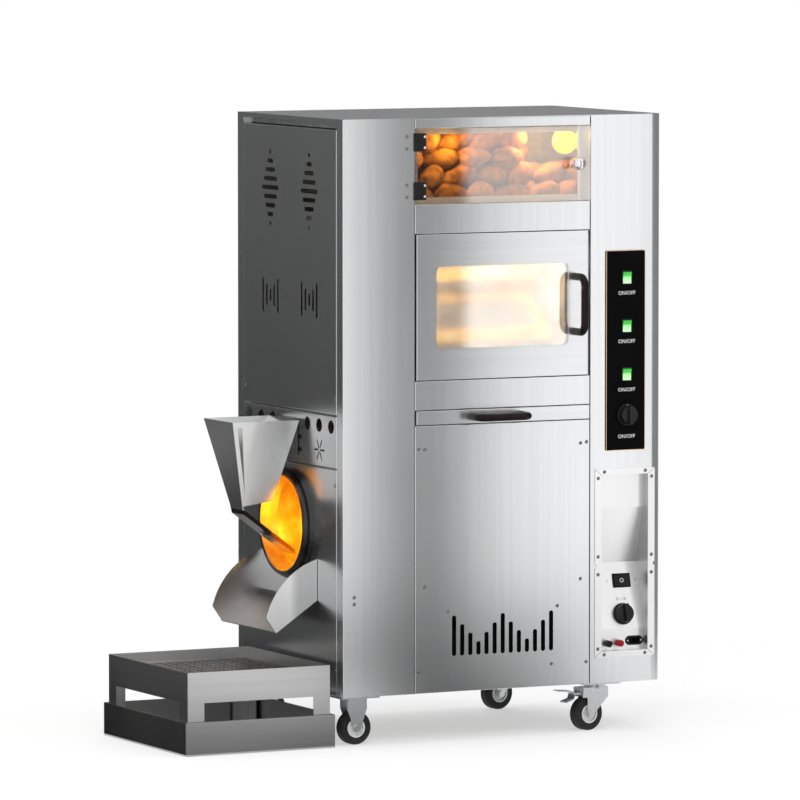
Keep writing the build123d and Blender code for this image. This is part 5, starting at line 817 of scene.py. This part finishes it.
lamp("front_lamp", (-1.6, -3.4, 2.6), 2.4, 60)
lamp("right_lamp", (3.2, -1.6, 2.4), 2.4, 40)
lamp("left_lamp", (-3.4, 0.6, 2.4), 2.4, 30)
lamp("back_lamp", (0.6, 3.6, 2.6), 2.4, 40)
lamp("top_lamp", (0.2, 0.0, 4.0), 3.0, 30)


def glow_inside(name, place, power, colour, size):
    """Small round lamp inside a chamber, not seen through its glass; size is its radius in metres."""
    made = bpy.data.objects.new(name, bpy.data.lights.new(name, "POINT"))
    made.data.energy = power
    made.data.color = linear(colour)[:3]
    made.data.shadow_soft_size = size
    made.location = place
    made.visible_transmission = False
    bpy.context.scene.collection.objects.link(made)


# light in the chambers, measured from the liners' front edges and from the drum's mouth
WARM_WHITE, PALE_AMBER, COOL_WHITE, FLAME, BRIGHT_FLAME = "#FFDFA6", "#FFD894", "#F2F5FF", "#FFBC2C", "#FFD048"
warmer_low, warmer_high = corners("warmer_liner")
oven_low, oven_high = corners("oven_liner")
drum_mouth = middle("drum_shell") * (0, 1, 1) + corners("drum_shell")[0] * (1, 0, 0)
warmer_right = np.array([warmer_high[0], warmer_low[1], warmer_high[2]])
warmer_left = np.array([warmer_low[0], warmer_low[1], warmer_high[2]])
oven_right = np.array([oven_high[0], oven_low[1], oven_high[2]])
oven_left = np.array([oven_low[0], oven_low[1], (oven_low[2] + oven_high[2]) / 2])
glow_inside("warmer_glow", warmer_right + (-0.12, 0.05, -0.02), 1.5, WARM_WHITE, 0.018)
glow_inside("warmer_left_glow", warmer_left + (0.14, 0.02, -0.03), 0.7, PALE_AMBER, 0.028)
glow_inside("oven_glow", oven_right + (-0.12, 0.03, -0.06), 18.0, COOL_WHITE, 0.03)
glow_inside("oven_low_glow", oven_left + (0.09, 0.03, 0.0), 20.0, COOL_WHITE, 0.05)
glow_inside("drum_glow", drum_mouth + (0.24, 0.04, 0.02), 1.4, FLAME, 0.03)
glow_inside("mouth_glow", drum_mouth + (0.075, -0.05, -0.03), 0.5, FLAME, 0.03)
glow_inside("slide_glow", drum_mouth + (0.045, -0.02, -0.07), 1.2, BRIGHT_FLAME, 0.02)


# goods in the warming cabinet, to show it in use; they are stage
def baked_skin():
    """Skin of a baked sweet potato: brown orange, darker in its scars, dull and finely wrinkled."""
    made, tree, shader = surface("baked_potato_skin", Roughness=0.6, Specular_IOR_Level=0.1)
    scar = grain(tree, 16, 4.0)
    skin = ramp(tree, scar, ((0.3, "#6E4313"), (0.55, "#A86C20"), (0.8, "#BA7C2A")))
    feed(tree, shader, {"Base Color": skin})
    dent(tree, shader, scar, 0.6)
    return made


def tuber(length, girth, bow, wave, rows=13, columns=16):
    """Spindle: radius(s) = girth / 2 * sin(pi s) ** 0.5 * (1 + 0.1 sin(2 pi s + wave)).

    Its axis is bowed sideways by bow sin(pi s).
    """
    share = np.linspace(0.01, 0.99, rows)[:, None]
    angle = np.linspace(0, 2 * np.pi, columns, endpoint=False)[None, :]
    radius = girth / 2 * np.sin(np.pi * share) ** 0.5 * (1 + 0.1 * np.sin(2 * np.pi * share + wave))
    points = np.stack(np.broadcast_arrays(length * (share - 0.5), radius * np.cos(angle) + bow * np.sin(np.pi * share),
                                          radius * np.sin(angle)), -1).reshape(-1, 3)
    return points, capped(rows, columns)


LAYERS, ROWS, COLUMNS = 4, 2, 6
PITCH = np.array([78.0, 78.0, 40.0]) * MM
FIRST_TUBER = warmer_low + np.array([62.0, 50.0, 27.0]) * MM
LAYER_SHIFT = 0.15
JITTER = 0.1
JITTER_SHARES = (1, 1, 0.4)
LENGTHS, GIRTHS, BOWS, WAVES = (80, 100), (50, 57), (-6, 6), (0, 6)
LEAST_TURN, MOST_TURN = (-35, -4), (35, 26)
FULL_LAYERS = 2
BULB_ROOM = 0.12
draw = np.random.default_rng(5)
tubers = []
for layer, row, column in np.ndindex(LAYERS, ROWS, COLUMNS):
    jitter = draw.uniform(-JITTER, JITTER, 3) * JITTER_SHARES
    shift = np.array([column + 0.5 * (layer % 2), row + LAYER_SHIFT * layer, layer]) + jitter
    place = FIRST_TUBER + shift * PITCH
    length, girth, bow = (draw.uniform(*limits) * MM for limits in (LENGTHS, GIRTHS, BOWS))
    points, faces = tuber(length, girth, bow, draw.uniform(*WAVES))
    yaw, tip = np.radians(draw.uniform(LEAST_TURN, MOST_TURN))
    spin = np.array([[np.cos(yaw), np.sin(yaw), 0], [-np.sin(yaw), np.cos(yaw), 0], [0, 0, 1]])
    lean = np.array([[np.cos(tip), 0, np.sin(tip)], [0, 1, 0], [-np.sin(tip), 0, np.cos(tip)]])
    if layer < FULL_LAYERS or place[0] < warmer_high[0] - BULB_ROOM:
        tubers.append((points @ lean @ spin + place, faces))
new_piece("goods_on_show", tubers, baked_skin(), True)


# studio cards
def level_ramp(tree, value, row):
    """Grey ramp on a coordinate, from (metres, level) stops."""
    first, last = row[0][0], row[-1][0]
    share = share_between(tree, value, first, last)
    return ramp(tree, share, [((place - first) / (last - first), level) for place, level in row], tone=grey)


def card(name, low, high, axis, stops, strength=1.0, rise=None, in_glass=False):
    """Glowing card that only polished faces see, and the inner face of a glass too where in_glass is true.

    Its level runs along one axis, and is multiplied by levels up z where rise gives them.
    """
    finish, tree = blank_finish(name + "_glow")
    place = add(tree, "SeparateXYZ", {0: object_place(tree)}).outputs
    shade = level_ramp(tree, place[axis], stops)
    if rise:
        up = level_ramp(tree, place["Z"], rise)
        shade = add(tree, "VectorMath", {0: shade, 1: up}, operation="MULTIPLY").outputs[0]
    light = add(tree, "Emission", {"Color": shade, "Strength": strength}).outputs[0]
    add(tree, "OutputMaterial", {"Surface": light})
    made = stage_sheet(name, low, high, finish)
    made.visible_camera = False
    made.visible_diffuse = False
    made.visible_transmission = in_glass
    made.visible_volume_scatter = False
    made.visible_shadow = False


def even(start, end, level):
    """Stops of one level from a start to an end."""
    return (start, level), (end, level)


# cards before the front; a point of the front mirrors the front card to its right, by half its distance
CARD_GAP = 0.9
CARD_SHIFT = 0.503 * CARD_GAP
CARD_LEFT, CARD_SPLIT, CARD_RIGHT = -2.0, 0.86, 3.0
CARD_HIGH = 2.5
FRONT_LIGHT = 1.42
front_y = FRONT - CARD_GAP
near_y = front_y + 0.01
band_left, band_right = -0.16 + CARD_SHIFT, 0.085 + CARD_SHIFT
left_stops = ((CARD_LEFT, 0.6), (band_left - 0.5, 0.76), (band_left - 0.02, 0.96), (band_left + 0.02, 0.03),
              (band_right, 0.03), (band_right + 0.035, 0.8), (band_right + 0.16, 0.82), (CARD_SPLIT, 0.9))
left_foot = ((0.0, 0.12), (0.1, 0.3), (0.2, 0.74), (0.3, 0.98), (0.5, 1.0), (CARD_HIGH, 1.0))
card("front_card_left", (CARD_LEFT, front_y, 0.0), (CARD_SPLIT, front_y, CARD_HIGH), "X", left_stops,
     FRONT_LIGHT, left_foot, True)
FOOT_START, FOOT_FADE, FOOT_END, FOOT_HIGH = -0.4, 0.08, 0.16, 0.12
card("foot_card", (FOOT_START, near_y, 0.0), (FOOT_END, near_y, FOOT_HIGH), "X",
     ((FOOT_START, 1.0), (FOOT_END - FOOT_FADE, 1.0), (FOOT_END, 0.5)))
right_stops = ((CARD_SPLIT, 0.9), (0.95, 1.0), (1.09, 1.05), (1.17, 0.2), (CARD_RIGHT, 0.2))
right_foot = ((0.0, 0.8), (0.2, 0.94), (0.4, 1.0), (CARD_HIGH, 1.0))
card("front_card_right", (CARD_SPLIT, front_y, 0.0), (CARD_RIGHT, front_y, CARD_HIGH), "X", right_stops,
     FRONT_LIGHT, right_foot)

# cards beside and behind the machine
left_x, right_x, back_y, rear_y = LEFT - 1.54, RIGHT + 1.6, 2.5, BACK + CARD_GAP
left_rise = ((-0.3, 0.036), (0.3, 0.04), (0.5, 0.048), (1.1, 0.087), (3.5, 0.135))
card("left_card", (left_x, 0.9, -0.3), (left_x, 7.0, 3.5), "Y", even(0.9, 7.0, 1.0), rise=left_rise)
card("right_card", (right_x, -1.3, -0.2), (right_x, 0.9, 2.4), "Y", even(-1.3, 0.9, 0.27))
card("back_card", (-3.0, back_y, 1.45), (5.0, back_y, 5.0), "X", ((-3.0, 0.22), (5.0, 0.25)))

# cards on the floor, each a little above the one it overlaps
FLOOR_Z, BAND_Z, RECESS_Z, HOPPER_Z = 0.004, 0.006, 0.008, 0.009
FLOOR_END = 4.5
tray_low, tray_high = corners("catch_tray")
floor_stops = ((FRONT, 0.012), (1.1, 0.012), (2.0, 0.06), (2.2, 0.25), (2.4, 0.25), (2.6, 0.14), (3.0, 0.035),
               (FLOOR_END, 0.035))
card("floor_card_left", (-2.2, FRONT, FLOOR_Z), (tray_low[0], FLOOR_END, FLOOR_Z), "Y", floor_stops)
card("floor_card_rear", (tray_low[0], tray_high[1], FLOOR_Z), (LEFT, FLOOR_END, FLOOR_Z), "Y",
     even(tray_high[1], FLOOR_END, 0.012))
card("floor_card_front", (-0.8, FRONT - 0.65, FLOOR_Z), (0.1, tray_low[1], FLOOR_Z), "X",
     ((-0.8, 0.16), (0.1, 0.2)))
band_stops = ((band_left - 0.2, 0.5), (band_left - 0.08, 0.06), (band_right - 0.12, 0.06), (band_right + 0.1, 0.5),
              (band_right + 0.3, 0.95))
card("floor_band_card", (band_left - 0.2, front_y, BAND_Z), (band_right + 0.3, FRONT - 0.1, BAND_Z), "X",
     band_stops)

# cards for the hopper's sheets, the back panel and the recess
HOPPER_START, HOPPER_END = -0.1, 0.2
card("hopper_card", (HOPPER_START, near_y, HOPPER_Z), (HOPPER_END, FRONT - 0.5, HOPPER_Z), "X",
     even(HOPPER_START, HOPPER_END, 1.5))
hopper_y = -0.186
card("hopper_near_card", (LEFT - 0.14, hopper_y, 0.4), (LEFT - 0.045, hopper_y, 0.7), "X",
     even(LEFT - 0.14, LEFT - 0.045, 0.95))
rear_stops = ((-0.35, 0.42), (0.4, 0.7), (1.0, 0.95), (2.4, 0.5))
card("rear_card", (-0.35, rear_y, 0.0), (2.4, rear_y, 1.4), "X", rear_stops,
     rise=((0.0, 0.75), (0.3, 0.9), (1.4, 1.0)))
card("recess_card", (0.75, FRONT - 1.1, RECESS_Z), (1.7, FRONT - 0.3, RECESS_Z), "X", even(0.75, 1.7, 1.2))
